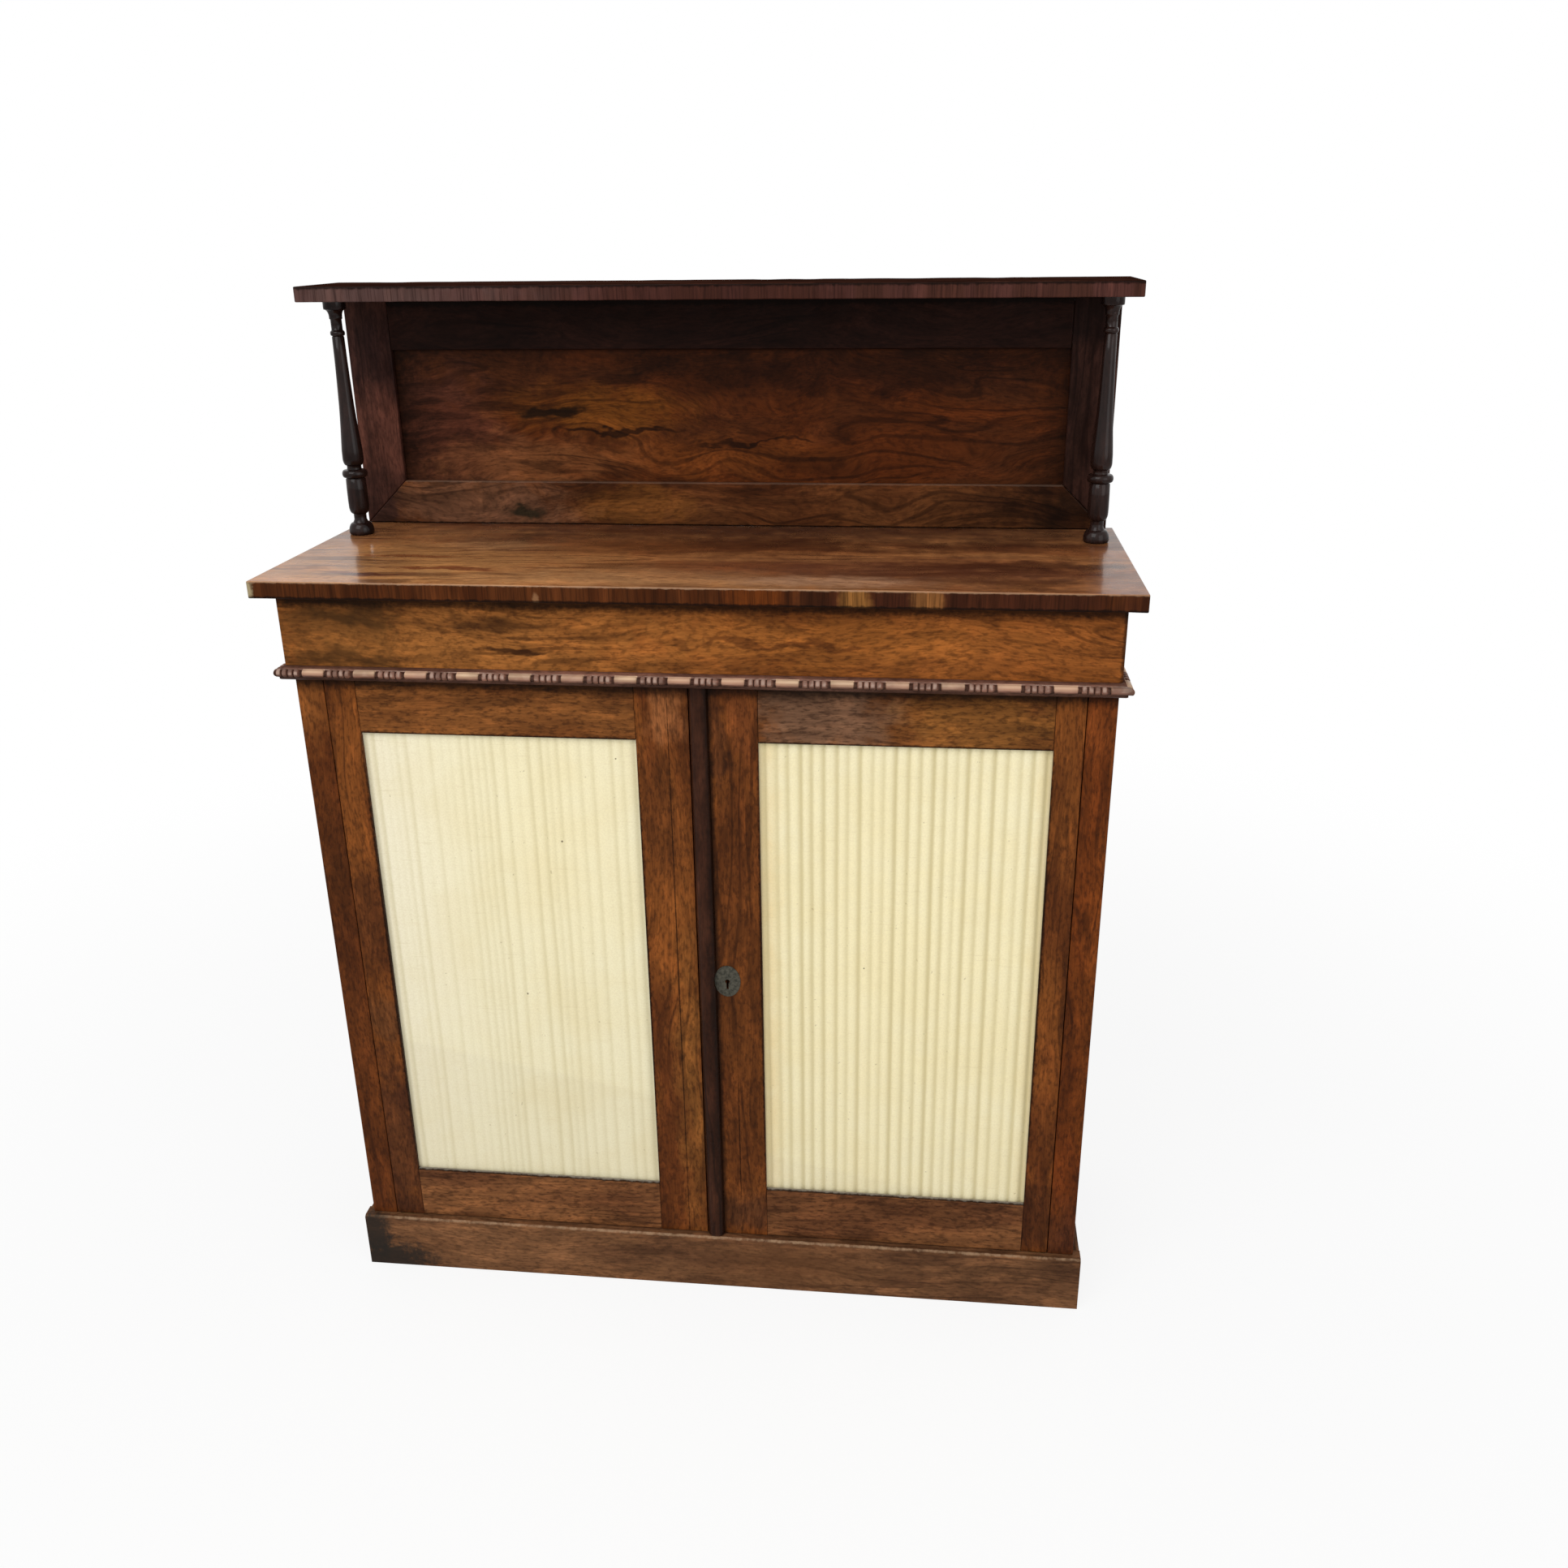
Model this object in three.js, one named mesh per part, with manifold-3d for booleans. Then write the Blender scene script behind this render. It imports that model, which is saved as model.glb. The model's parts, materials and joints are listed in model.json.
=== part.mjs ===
// A rosewood chiffonier: a low cupboard with two doors of pleated silk, a frieze over a bead-and-reel
// moulding, and a single raised shelf carried by two turned columns and a framed back panel.
//
// Units are millimetres. X runs to the viewer's right, Y away from the viewer and Z up. The origin is on
// the floor, under the middle of the piece.

import * as THREE from 'three';
import { mergeVertices } from 'three/addons/utils/BufferGeometryUtils.js';
import Module from 'manifold-3d';

const wasm = await Module();
wasm.setup();

// Driving dimensions
const worktopWidth = 1000;
const worktopDepth = 355.5;
const worktopHeight = 995;
const worktopThickness = 20;
const spaceUnderShelf = 287;
const worktopOverhang = 16.5;
const plinthHeight = 81.5;
const friezeHeight = 103.5;
const doorSetback = 51.3;
const backSetback = 1.5;

// Fits and cutting
const seat = 0.3;
const overrun = 2;
const weld = 1e-4;

// Edges worn round
const boardArris = 1.2;
const plinthArris = 3;

// Carcase boards
const sideThickness = 20;
const frontFrameThickness = 25;
const frontStileWidth = 33.5;
const friezeProjection = 19.6;
const bottomBoardThickness = 18;
const housingDepth = 8;
const backBoardThickness = 10;
const backBoardFootClearance = 40;
const rearRailHeight = 50;
const rearRailThickness = 20;
const plinthThickness = 20;
const plinthProjection = 10;

// Shelf inside the cupboard
const innerShelfHeight = 480;
const innerShelfThickness = 16;
const innerShelfSetback = 30;
const bearerThickness = 15;
const bearerHeight = 20;
const bearerEndInset = 10;

// Doors
const doorThickness = 22;
const doorSideGap = 1.2;
const doorTopGap = 1.5;
const doorBottomGap = 1.5;
const meetingGap = 1.5;
const meetingLineX = -8.25;
const doorTopRailHeight = 72.5;
const doorBottomRailHeight = 76.2;
const leftOuterStileWidth = 37.8;
const leftInnerStileWidth = 63.9;
const rightOuterStileWidth = 33.9;
const rightInnerStileWidth = 80.4;
const doorLip = 5;
const doorRebate = 8;
const silkThickness = 5;
const doorBackingThickness = 6;
const stopWidth = 84;
const stopThickness = 20;
const stopHeight = 94;
const stopDrop = 15;
const stopGap = 0.5;

// Bead-and-reel moulding
const mouldingHeight = 16;
const mouldingProjection = 12;
const mouldingStripProjection = 6;
const mouldingPeriod = 62;
const mouldingBarLength = 28;
const mouldingBeadsPerGroup = 4;
const mouldingBarX = 49.2;
const beadRadius = 5;
const barRadius = 4.6;
const beadNeckRadius = 2.8;
const barEndLength = 1;
const beadCentreHeight = 8.5;
const beadSides = 8;

// Astragal, escutcheon and lock
const astragalWidth = 22.3;
const astragalProjection = 9;
const astragalSides = 10;
const astragalEndGap = 0.5;
const escutcheonWidth = 33;
const escutcheonHeight = 44;
const escutcheonThickness = 1.8;
const escutcheonX = 28.5;
const keyholeHeight = 477;
const keyholeRadius = 3;
const keySlotWidth = 2.6;
const keySlotLength = 11;
const lockWidth = 50;
const lockHeight = 44;
const lockThickness = 12;
const lockPlateHeight = 60;
const lockPlateThickness = 2;
const lockWall = 3;
const lockBoltLength = 42;
const lockBoltHeight = 14;
const lockBoltThickness = 5;
const lockBoltRise = 9;
const lockThrow = 8;
const boltFit = 0.4;
const boltRestInset = 0.3;

// Flush bolts on the left door
const flushPlateWidth = 16;
const flushPlateLength = 100;
const flushPlateThickness = 1.5;
const flushBoltWidth = 8;
const flushBoltThickness = 4.5;
const flushBoltLength = 84;
const flushBoltInset = 24;
const flushBoltThrow = 10;
const flushSocketDepth = 12;
const flushKnobWidth = 4;
const flushKnobReach = 4;
const flushKnobFromEnd = 50;

// Pivot hinges at the top and bottom of each door
const pivotInset = 14;
const pivotDepth = 5;
const pivotPinRadius = 2;
const pivotHoleRadius = 2.08;
const pivotPinReach = 6;
const pivotPlateLength = 20;
const pivotPlateWidth = 8;
const pivotPlateThickness = 2.5;
const pivotDrillRadius = 2.6;
const pivotSides = 24;

// Raised shelf and its back
const shelfEndInset = 0.5;
const shelfDepth = 134;
const shelfThickness = 18;
const backFrameInset = 10.5;
const backFrameThickness = 16;
const backFrameLip = 8;
const backFrameRebate = 7;
const backStileWidth = 57;
const backBottomRailHeight = 56;
const backTopRailHeight = 64;

// Turned columns
const columnInset = 30.4;
const columnFromBack = 89.2;
const columnRadius = 16;
const columnSides = 18;

// Planes that the pieces share
const frontEdge = -worktopDepth / 2;
const backEdge = worktopDepth / 2;
const halfCarcase = worktopWidth / 2 - worktopOverhang;
const carcaseBack = backEdge - backSetback;
const doorFace = frontEdge + doorSetback;
const doorBack = doorFace + doorThickness;
const friezeFace = doorFace - friezeProjection;
const frontFrameBack = doorFace + frontFrameThickness;
const underWorktop = worktopHeight - worktopThickness;
const carcaseTop = underWorktop - seat;
const friezeBottom = underWorktop - friezeHeight;
const insideHalf = halfCarcase - sideThickness;
const fittedHalf = insideHalf - seat;
const backBoardFront = carcaseBack - backBoardThickness;
const plinthBack = doorFace - plinthProjection + plinthThickness;
const doorBottom = plinthHeight + doorBottomGap;
const doorHeight = friezeBottom - doorTopGap - doorBottom;
const doorOuterEdge = halfCarcase - frontStileWidth - doorSideGap;
const flushBoltY = doorThickness - flushPlateThickness - seat - flushBoltThickness / 2;
const flushBoltX = meetingLineX - meetingGap / 2 - flushBoltInset;

// Finishes
const rosewood = { color: 0x6b3f24, roughness: 0.38, metalness: 0 };
const goldenRosewood = { color: 0x845028, roughness: 0.34, metalness: 0 };
const polishedRosewood = { color: 0x5a3826, roughness: 0.22, metalness: 0 };
const turnedRosewood = { color: 0x33221a, roughness: 0.3, metalness: 0 };
const ebonisedWood = { color: 0x2c2220, roughness: 0.4, metalness: 0 };
const beadedWood = { color: 0x6d4c3c, roughness: 0.32, metalness: 0 };
const carcaseWood = { color: 0x9a7448, roughness: 0.7, metalness: 0 };
const silk = { color: 0xece2ba, roughness: 0.75, metalness: 0 };
const brass = { color: 0xa08048, roughness: 0.42, metalness: 1 };
const agedBrass = { color: 0x6a665a, roughness: 0.55, metalness: 0.8 };
const steel = { color: 0x77777a, roughness: 0.45, metalness: 1 };

// Solids

function asSolid(geometry) {
  const bare = geometry.clone();
  bare.deleteAttribute('normal');
  bare.deleteAttribute('uv');
  const merged = mergeVertices(bare, weld);
  return new wasm.Manifold(
    new wasm.Mesh({
      numProp: 3,
      vertProperties: new Float32Array(merged.attributes.position.array),
      triVerts: new Uint32Array(merged.index.array),
    }),
  );
}

function asGeometry(solid) {
  const mesh = solid.getMesh();
  const geometry = new THREE.BufferGeometry();
  geometry.setAttribute('position', new THREE.BufferAttribute(mesh.vertProperties, 3));
  geometry.setIndex(new THREE.BufferAttribute(mesh.triVerts, 1));
  geometry.computeVertexNormals();
  return geometry;
}

function cut(geometry, ...tools) {
  return asGeometry(tools.reduce((solid, tool) => solid.subtract(asSolid(tool)), asSolid(geometry)));
}

function join(geometry, ...others) {
  return asGeometry(others.reduce((solid, other) => solid.add(asSolid(other)), asSolid(geometry)));
}

function common(geometry, other) {
  return asGeometry(asSolid(geometry).intersect(asSolid(other)));
}

function block(x, y, z) {
  const geometry = new THREE.BoxGeometry(x[1] - x[0], y[1] - y[0], z[1] - z[0]);
  return geometry.translate((x[0] + x[1]) / 2, (y[0] + y[1]) / 2, (z[0] + z[1]) / 2);
}

function shapeOf(outline) {
  if (outline instanceof THREE.Shape) {
    return outline;
  }
  return new THREE.Shape(outline.map(([u, v]) => new THREE.Vector2(u, v)));
}

// An outline of (x, y) points, drawn along Z
function prismAlongZ(outline, z) {
  const depth = z[1] - z[0];
  const geometry = new THREE.ExtrudeGeometry(shapeOf(outline), { depth, bevelEnabled: false });
  return geometry.translate(0, 0, z[0]);
}

// An outline of (y, z) points, drawn along X
function prismAlongX(outline, x) {
  const geometry = prismAlongZ(outline, x);
  const turn = new THREE.Matrix4().makeBasis(
    new THREE.Vector3(0, 1, 0),
    new THREE.Vector3(0, 0, 1),
    new THREE.Vector3(1, 0, 0),
  );
  return geometry.applyMatrix4(turn);
}

// An outline of (x, z) points, drawn along Y
function prismAlongY(outline, y) {
  return prismAlongZ(outline, [-y[1], -y[0]]).rotateX(Math.PI / 2);
}

// A board whose edges are worn to a small arris all round
function wornBoard(x, y, z, arris) {
  const outline = [
    [x[0], y[0]],
    [x[1], y[0]],
    [x[1], y[1]],
    [x[0], y[1]],
  ];
  const geometry = new THREE.ExtrudeGeometry(shapeOf(outline), {
    depth: z[1] - z[0] - 2 * arris,
    bevelThickness: arris,
    bevelSize: arris,
    bevelOffset: -arris,
    bevelSegments: 1,
  });
  return geometry.translate(0, 0, z[0] + arris);
}

function uprightPin(radius, z) {
  const geometry = new THREE.CylinderGeometry(radius, radius, z[1] - z[0], pivotSides);
  return geometry.rotateX(Math.PI / 2).translate(0, 0, (z[0] + z[1]) / 2);
}

function grown(range, by) {
  return [range[0] - by, range[1] + by];
}

function around(centre, width) {
  return [centre - width / 2, centre + width / 2];
}

function add(group, name, geometry, finish) {
  const mesh = new THREE.Mesh(geometry, new THREE.MeshStandardMaterial(finish));
  mesh.name = name;
  group.add(mesh);
  return mesh;
}

const sides = [
  { name: 'left', sign: -1 },
  { name: 'right', sign: 1 },
];

// A range measured outwards from the middle, on one side of it
function outwards(sign, from, to) {
  return sign > 0 ? [from, to] : [-to, -from];
}

// Pivot hinge: a plate flush in the door's edge with a pin, and a plate round the pin in the carcase.
// Each is drawn as if at the top of a door, with z = 0 at the door's edge and the pin on the Z axis.

function pivotPlateBlock(z, clearance) {
  return block(around(0, pivotPlateLength + 2 * clearance), around(0, pivotPlateWidth + 2 * clearance), z);
}

function pivotPlate() {
  const plate = pivotPlateBlock([-pivotPlateThickness, 0], 0);
  const pin = uprightPin(pivotPinRadius, [-pivotPlateThickness / 2, pivotPinReach]);
  return join(plate, pin);
}

function pivotPlateRecess() {
  return pivotPlateBlock([-pivotPlateThickness - seat, overrun], seat);
}

function pivotSocket(gap) {
  const plate = pivotPlateBlock([gap, gap + pivotPlateThickness], 0);
  return cut(plate, uprightPin(pivotHoleRadius, [gap - overrun, gap + pivotPlateThickness + overrun]));
}

function pivotSocketRecess(gap) {
  const recess = pivotPlateBlock([gap - overrun, gap + pivotPlateThickness + seat], seat);
  return join(recess, uprightPin(pivotDrillRadius, [gap, pivotPinReach + overrun]));
}

const pivotAxisX = doorOuterEdge - pivotInset;
const pivotAxisY = doorFace + pivotDepth;

function atTopPivot(geometry, sign) {
  return geometry.translate(sign * pivotAxisX, pivotAxisY, friezeBottom - doorTopGap);
}

function atBottomPivot(geometry, sign) {
  return geometry.rotateX(Math.PI).translate(sign * pivotAxisX, pivotAxisY, doorBottom);
}

// Carcase

function friezeRail() {
  const rail = block([-halfCarcase, halfCarcase], [friezeFace, frontFrameBack], [friezeBottom, carcaseTop]);
  const pivots = sides.map(({ sign }) => atTopPivot(pivotSocketRecess(doorTopGap), sign));
  const boltSocket = block(
    around(flushBoltX, flushBoltWidth + 2 * boltFit),
    around(doorFace + flushBoltY, flushBoltThickness + 2 * boltFit),
    [friezeBottom - overrun, friezeBottom + flushSocketDepth],
  );
  return cut(rail, ...pivots, boltSocket);
}

function bottomBoard() {
  const half = insideHalf + housingDepth - seat;
  const z = [plinthHeight - bottomBoardThickness, plinthHeight];
  const board = block([-half, half], [plinthBack + seat, backBoardFront - seat], z);
  const boltSocket = block(
    around(flushBoltX, flushBoltWidth + 2 * boltFit),
    around(doorFace + flushBoltY, flushBoltThickness + 2 * boltFit),
    [plinthHeight - flushSocketDepth, plinthHeight + overrun],
  );
  return cut(board, boltSocket);
}

function sidePanel(sign) {
  const panel = block(
    outwards(sign, insideHalf, halfCarcase),
    [frontFrameBack + seat, carcaseBack],
    [0, carcaseTop],
  );
  const housing = block(
    outwards(sign, insideHalf - overrun, insideHalf + housingDepth),
    [plinthBack, backBoardFront],
    grown([plinthHeight - bottomBoardThickness, plinthHeight], seat),
  );
  return cut(panel, housing);
}

function plinthFront() {
  const face = doorFace - plinthProjection;
  const section = [
    [face, 0],
    [plinthBack, 0],
    [plinthBack, plinthHeight],
    [face + plinthArris, plinthHeight],
    [face, plinthHeight - plinthArris],
  ];
  const half = halfCarcase + plinthProjection;
  const board = prismAlongX(section, [-half, half]);
  const pivots = sides.map(({ sign }) => atBottomPivot(pivotSocketRecess(doorBottomGap), sign));
  return cut(board, ...pivots);
}

function plinthSide(sign) {
  const inner = halfCarcase + seat;
  const outer = halfCarcase + plinthProjection;
  const section = [
    [inner, 0],
    [outer, 0],
    [outer, plinthHeight - plinthArris],
    [outer - plinthArris, plinthHeight],
    [inner, plinthHeight],
  ];
  const outline = section.map(([x, z]) => [sign * x, z]);
  return prismAlongY(outline, [plinthBack + seat, carcaseBack]);
}

function doorStop() {
  const hook = doorBack + stopGap;
  const front = frontFrameBack + seat;
  const back = front + stopThickness;
  const bottom = friezeBottom - stopDrop;
  const section = [
    [hook, bottom],
    [back, bottom],
    [back, bottom + stopHeight],
    [front, bottom + stopHeight],
    [front, friezeBottom - seat],
    [hook, friezeBottom - seat],
  ];
  return prismAlongX(section, around(meetingLineX, stopWidth));
}

function buildCarcase(group) {
  const frontStile = (sign) =>
    block(
      outwards(sign, halfCarcase - frontStileWidth, halfCarcase),
      [doorFace, frontFrameBack],
      [plinthHeight + seat, friezeBottom - seat],
    );
  const backBoard = block(
    [-fittedHalf, fittedHalf],
    [backBoardFront, carcaseBack],
    [backBoardFootClearance, carcaseTop],
  );
  const rearRail = block(
    [-fittedHalf, fittedHalf],
    [backBoardFront - seat - rearRailThickness, backBoardFront - seat],
    [carcaseTop - rearRailHeight, carcaseTop],
  );
  add(group, 'frieze_rail', friezeRail(), goldenRosewood);
  add(group, 'bottom_board', bottomBoard(), carcaseWood);
  add(group, 'back_board', backBoard, carcaseWood);
  add(group, 'rear_rail', rearRail, carcaseWood);
  add(group, 'door_stop', doorStop(), carcaseWood);
  add(group, 'plinth_front', plinthFront(), rosewood);
  for (const { name, sign } of sides) {
    add(group, `side_panel_${name}`, sidePanel(sign), rosewood);
    add(group, `front_stile_${name}`, frontStile(sign), rosewood);
    add(group, `plinth_${name}`, plinthSide(sign), rosewood);
  }
}

function buildInnerShelf(group) {
  const front = doorBack + innerShelfSetback;
  const back = backBoardFront - seat;
  const underside = innerShelfHeight - innerShelfThickness;
  const shelf = block([-fittedHalf, fittedHalf], [front, back], [underside, innerShelfHeight]);
  add(group, 'inner_shelf', shelf, carcaseWood);
  for (const { name, sign } of sides) {
    const bearer = block(
      outwards(sign, fittedHalf - bearerThickness, fittedHalf),
      [front + bearerEndInset, back],
      [underside - seat - bearerHeight, underside - seat],
    );
    add(group, `shelf_bearer_${name}`, bearer, carcaseWood);
  }
}

// Bead-and-reel moulding

// The turned rod along X: plain bars with groups of small beads between them
function beadedRod(x) {
  const beadPitch = (mouldingPeriod - mouldingBarLength) / mouldingBeadsPerGroup;
  const beadCrownShares = [0.25, 0.75];
  const profile = [];
  const put = (radius, place) => profile.push(new THREE.Vector2(radius, place));
  const firstBar = mouldingBarX + mouldingPeriod * Math.floor((x[0] - mouldingBarX) / mouldingPeriod);
  for (let middle = firstBar; middle - mouldingPeriod / 2 < x[1]; middle += mouldingPeriod) {
    const start = middle - mouldingBarLength / 2;
    const end = middle + mouldingBarLength / 2;
    put(beadNeckRadius, start);
    put(barRadius, start + barEndLength);
    put(barRadius, end - barEndLength);
    for (let bead = 0; bead < mouldingBeadsPerGroup; bead += 1) {
      const beadStart = end + bead * beadPitch;
      put(beadNeckRadius, beadStart);
      for (const share of beadCrownShares) {
        put(beadRadius, beadStart + share * beadPitch);
      }
    }
  }
  const closed = [
    new THREE.Vector2(0, profile[0].y),
    ...profile,
    new THREE.Vector2(0, profile[profile.length - 1].y),
  ];
  return new THREE.LatheGeometry(closed, beadSides).rotateZ(-Math.PI / 2);
}

// A length of the moulding along X. Its back is the plane y = 0 and its foot the plane z = 0.
function mouldingLength(x) {
  const crownShare = 0.78;
  const section = [
    [0, 0],
    [0, mouldingHeight],
    [-boardArris, mouldingHeight],
    [-mouldingStripProjection, mouldingHeight * crownShare],
    [-mouldingStripProjection, boardArris],
    [-mouldingStripProjection + boardArris, 0],
  ];
  const strip = prismAlongX(section, x);
  const rod = beadedRod(x).translate(0, beadRadius - mouldingProjection, beadCentreHeight);
  return join(strip, rod);
}

function buildMoulding(group) {
  const corner = halfCarcase + seat;
  const back = friezeFace - seat;
  const tip = mouldingProjection + overrun;
  const mitreGap = seat * Math.SQRT2;
  const z = [friezeBottom - overrun, friezeBottom + mouldingHeight + overrun];
  const frontOutline = [
    [-corner + mitreGap, back],
    [-corner + mitreGap - tip, back - tip],
    [corner - mitreGap + tip, back - tip],
    [corner - mitreGap, back],
  ];
  const front = mouldingLength([-corner - tip, corner + tip]).translate(0, back, friezeBottom);
  add(group, 'bead_moulding_front', common(front, prismAlongZ(frontOutline, z)), beadedWood);
  for (const { name, sign } of sides) {
    const outline = [
      [corner, back],
      [corner + tip, back - tip],
      [corner + tip, carcaseBack],
      [corner, carcaseBack],
    ].map(([x, y]) => [sign * x, y]);
    const run = mouldingLength(outwards(sign, back - tip, carcaseBack));
    run.rotateZ((sign * Math.PI) / 2).translate(sign * corner, 0, friezeBottom);
    add(group, `bead_moulding_${name}`, common(run, prismAlongZ(outline, z)), beadedWood);
  }
}

// Doors

const doorSpecs = {
  left: {
    width: doorOuterEdge + meetingLineX - meetingGap / 2,
    outerStile: leftOuterStileWidth,
    innerStile: leftInnerStileWidth,
    pleats: { pitch: 13, depth: 2.2 },
  },
  right: {
    width: doorOuterEdge - meetingLineX - meetingGap / 2,
    outerStile: rightOuterStileWidth,
    innerStile: rightInnerStileWidth,
    pleats: { pitch: 14.2, depth: 3.4 },
  },
};

// Pleated silk in section: knife pleats over a flat back, measured from its left edge and its front
function pleatedOutline(width, { pitch, depth }) {
  const pleatShares = [
    [0, 1],
    [0.16, 0.2],
    [0.5, 0],
    [0.86, 0.3],
  ];
  const count = Math.floor(width / pitch);
  const margin = (width - count * pitch) / 2;
  const outline = [[0, depth]];
  for (let pleat = 0; pleat < count; pleat += 1) {
    for (const [along, deep] of pleatShares) {
      outline.push([margin + (pleat + along) * pitch, deep * depth]);
    }
  }
  outline.push([width - margin, depth]);
  outline.push([width, depth]);
  outline.push([width, silkThickness]);
  outline.push([0, silkThickness]);
  return outline;
}

// The door's own frame: x = 0 at the left edge, y = 0 at the face and z = 0 at the bottom
function doorPieces(sign, spec) {
  const { width, outerStile, innerStile } = spec;
  const y = [0, doorThickness];
  const leftStile = sign < 0 ? outerStile : innerStile;
  const rightStile = sign < 0 ? innerStile : outerStile;
  const opening = {
    x: [leftStile, width - rightStile],
    z: [doorBottomRailHeight, doorHeight - doorTopRailHeight],
  };
  const rebate = block(
    grown(opening.x, doorRebate),
    [doorLip, doorThickness + overrun],
    grown(opening.z, doorRebate),
  );
  const leftMember = cut(block([0, leftStile], y, [0, doorHeight]), rebate);
  const rightMember = cut(block([width - rightStile, width], y, [0, doorHeight]), rebate);
  const railX = grown(opening.x, -seat);
  const inRebateX = grown(opening.x, doorRebate - seat);
  const inRebateZ = grown(opening.z, doorRebate - seat);
  const silkFront = doorLip + seat;
  const backingFront = silkFront + silkThickness + seat;
  const silkWidth = inRebateX[1] - inRebateX[0];
  const silkOutline = pleatedOutline(silkWidth, spec.pleats);
  return {
    outerStile: sign < 0 ? leftMember : rightMember,
    innerStile: sign < 0 ? rightMember : leftMember,
    topRail: cut(block(railX, y, [opening.z[1], doorHeight]), rebate),
    bottomRail: cut(block(railX, y, [0, opening.z[0]]), rebate),
    silk: prismAlongZ(silkOutline, inRebateZ).translate(inRebateX[0], silkFront, 0),
    backing: block(inRebateX, [backingFront, backingFront + doorBackingThickness], inRebateZ),
  };
}

function doorLeftEdge(sign) {
  return sign < 0 ? -doorOuterEdge : meetingLineX + meetingGap / 2;
}

// Lock on the back of the right door, with its bolt to the left

const lockEdgeX = meetingLineX + meetingGap / 2;
const lockMiddleZ = keyholeHeight;
const lockCaseY = [doorBack - lockThickness, doorBack - seat];
const lockBoltY = around((lockCaseY[0] + lockCaseY[1]) / 2, lockBoltThickness);
const lockBoltZ = around(lockMiddleZ + lockBoltRise, lockBoltHeight);
const lockPlateX = [lockEdgeX, lockEdgeX + lockPlateThickness];
const lockCaseX = [lockEdgeX, lockEdgeX + lockPlateThickness + lockWidth];

function lockRecess() {
  const body = block(
    [lockEdgeX - overrun, lockCaseX[1] + seat],
    [lockCaseY[0] - seat, doorBack + overrun],
    grown(around(lockMiddleZ, lockHeight), seat),
  );
  const plate = block(
    [lockEdgeX - overrun, lockPlateX[1] + seat],
    [lockCaseY[0] - seat, doorBack + overrun],
    grown(around(lockMiddleZ, lockPlateHeight), seat),
  );
  return join(body, plate);
}

function keyholeTool(y) {
  const round = new THREE.CylinderGeometry(keyholeRadius, keyholeRadius, y[1] - y[0], pivotSides);
  round.translate(0, (y[0] + y[1]) / 2, 0);
  const slot = block(around(0, keySlotWidth), y, [-keySlotLength, 0]);
  return join(round, slot).translate(escutcheonX, 0, keyholeHeight);
}

function lockCase() {
  const body = block(lockCaseX, lockCaseY, around(lockMiddleZ, lockHeight));
  const plate = block(lockPlateX, lockCaseY, around(lockMiddleZ, lockPlateHeight));
  const channel = block(
    [lockEdgeX - overrun, lockCaseX[1] - lockWall],
    grown(lockBoltY, boltFit),
    grown(lockBoltZ, boltFit),
  );
  const keyway = keyholeTool([lockCaseY[0] - overrun, lockBoltY[1]]);
  return cut(join(body, plate), channel, keyway);
}

function lockBolt() {
  const start = lockEdgeX + boltRestInset;
  return block([start, start + lockBoltLength], lockBoltY, lockBoltZ);
}

function lockStrike() {
  const edge = meetingLineX - meetingGap / 2;
  const x = [edge - lockThrow - overrun, edge + overrun];
  return block(x, grown(lockBoltY, boltFit), grown(lockBoltZ, boltFit));
}

function escutcheonShape(clearance) {
  const shape = new THREE.Shape();
  shape.absellipse(
    escutcheonX,
    keyholeHeight,
    escutcheonWidth / 2 + clearance,
    escutcheonHeight / 2 + clearance,
    0,
    2 * Math.PI,
  );
  return shape;
}

function escutcheon() {
  const y = [doorFace - seat - escutcheonThickness, doorFace - seat];
  return cut(prismAlongY(escutcheonShape(0), y), keyholeTool(grown(y, overrun)));
}

function astragal() {
  const outline = [];
  for (let step = 0; step <= astragalSides; step += 1) {
    const turn = (Math.PI * step) / astragalSides;
    outline.push([-Math.cos(turn) * (astragalWidth / 2), -Math.sin(turn) * astragalProjection]);
  }
  const z = [doorBottom + astragalEndGap, doorBottom + doorHeight - astragalEndGap];
  const bead = prismAlongZ(outline, z).translate(lockEdgeX + astragalWidth / 2, doorFace - seat, 0);
  const through = grown([doorFace - astragalProjection, doorFace], overrun);
  const notch = prismAlongY(escutcheonShape(seat), through);
  return cut(bead, notch);
}

// Flush bolts of the left door. Each is drawn for the bottom of the door, with z = 0 at the door's edge,
// x = 0 in the middle of the bolt and y = 0 at the door's face.

function flushBoltParts() {
  const plateY = [doorThickness - flushPlateThickness, doorThickness];
  const boltY = around(flushBoltY, flushBoltThickness);
  const knobZ = around(flushKnobFromEnd, flushKnobWidth);
  const slotZ = [knobZ[0] - flushBoltThrow - boltFit, knobZ[1] + boltFit];
  const slot = block(around(0, flushKnobWidth + 2 * boltFit), grown(plateY, overrun), slotZ);
  const bar = block(around(0, flushBoltWidth), boltY, [boltRestInset, boltRestInset + flushBoltLength]);
  const knob = block(around(0, flushKnobWidth), [boltY[0], doorThickness + flushKnobReach], knobZ);
  const plateRecess = block(
    around(0, flushPlateWidth + 2 * seat),
    [plateY[0] - seat, plateY[1] + overrun],
    [-overrun, flushPlateLength + seat],
  );
  const groove = block(
    around(0, flushBoltWidth + 2 * boltFit),
    [boltY[0] - boltFit, plateY[1]],
    [-overrun, flushBoltLength + boltFit + boltRestInset],
  );
  return {
    plate: cut(block(around(0, flushPlateWidth), plateY, [0, flushPlateLength]), slot),
    bolt: join(bar, knob),
    recess: join(plateRecess, groove),
  };
}

function atDoorBottom(geometry) {
  return geometry.translate(flushBoltX, doorFace, doorBottom);
}

function atDoorTop(geometry) {
  const turnedOver = geometry.rotateY(Math.PI);
  return turnedOver.translate(flushBoltX, doorFace, doorBottom + doorHeight);
}

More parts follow.
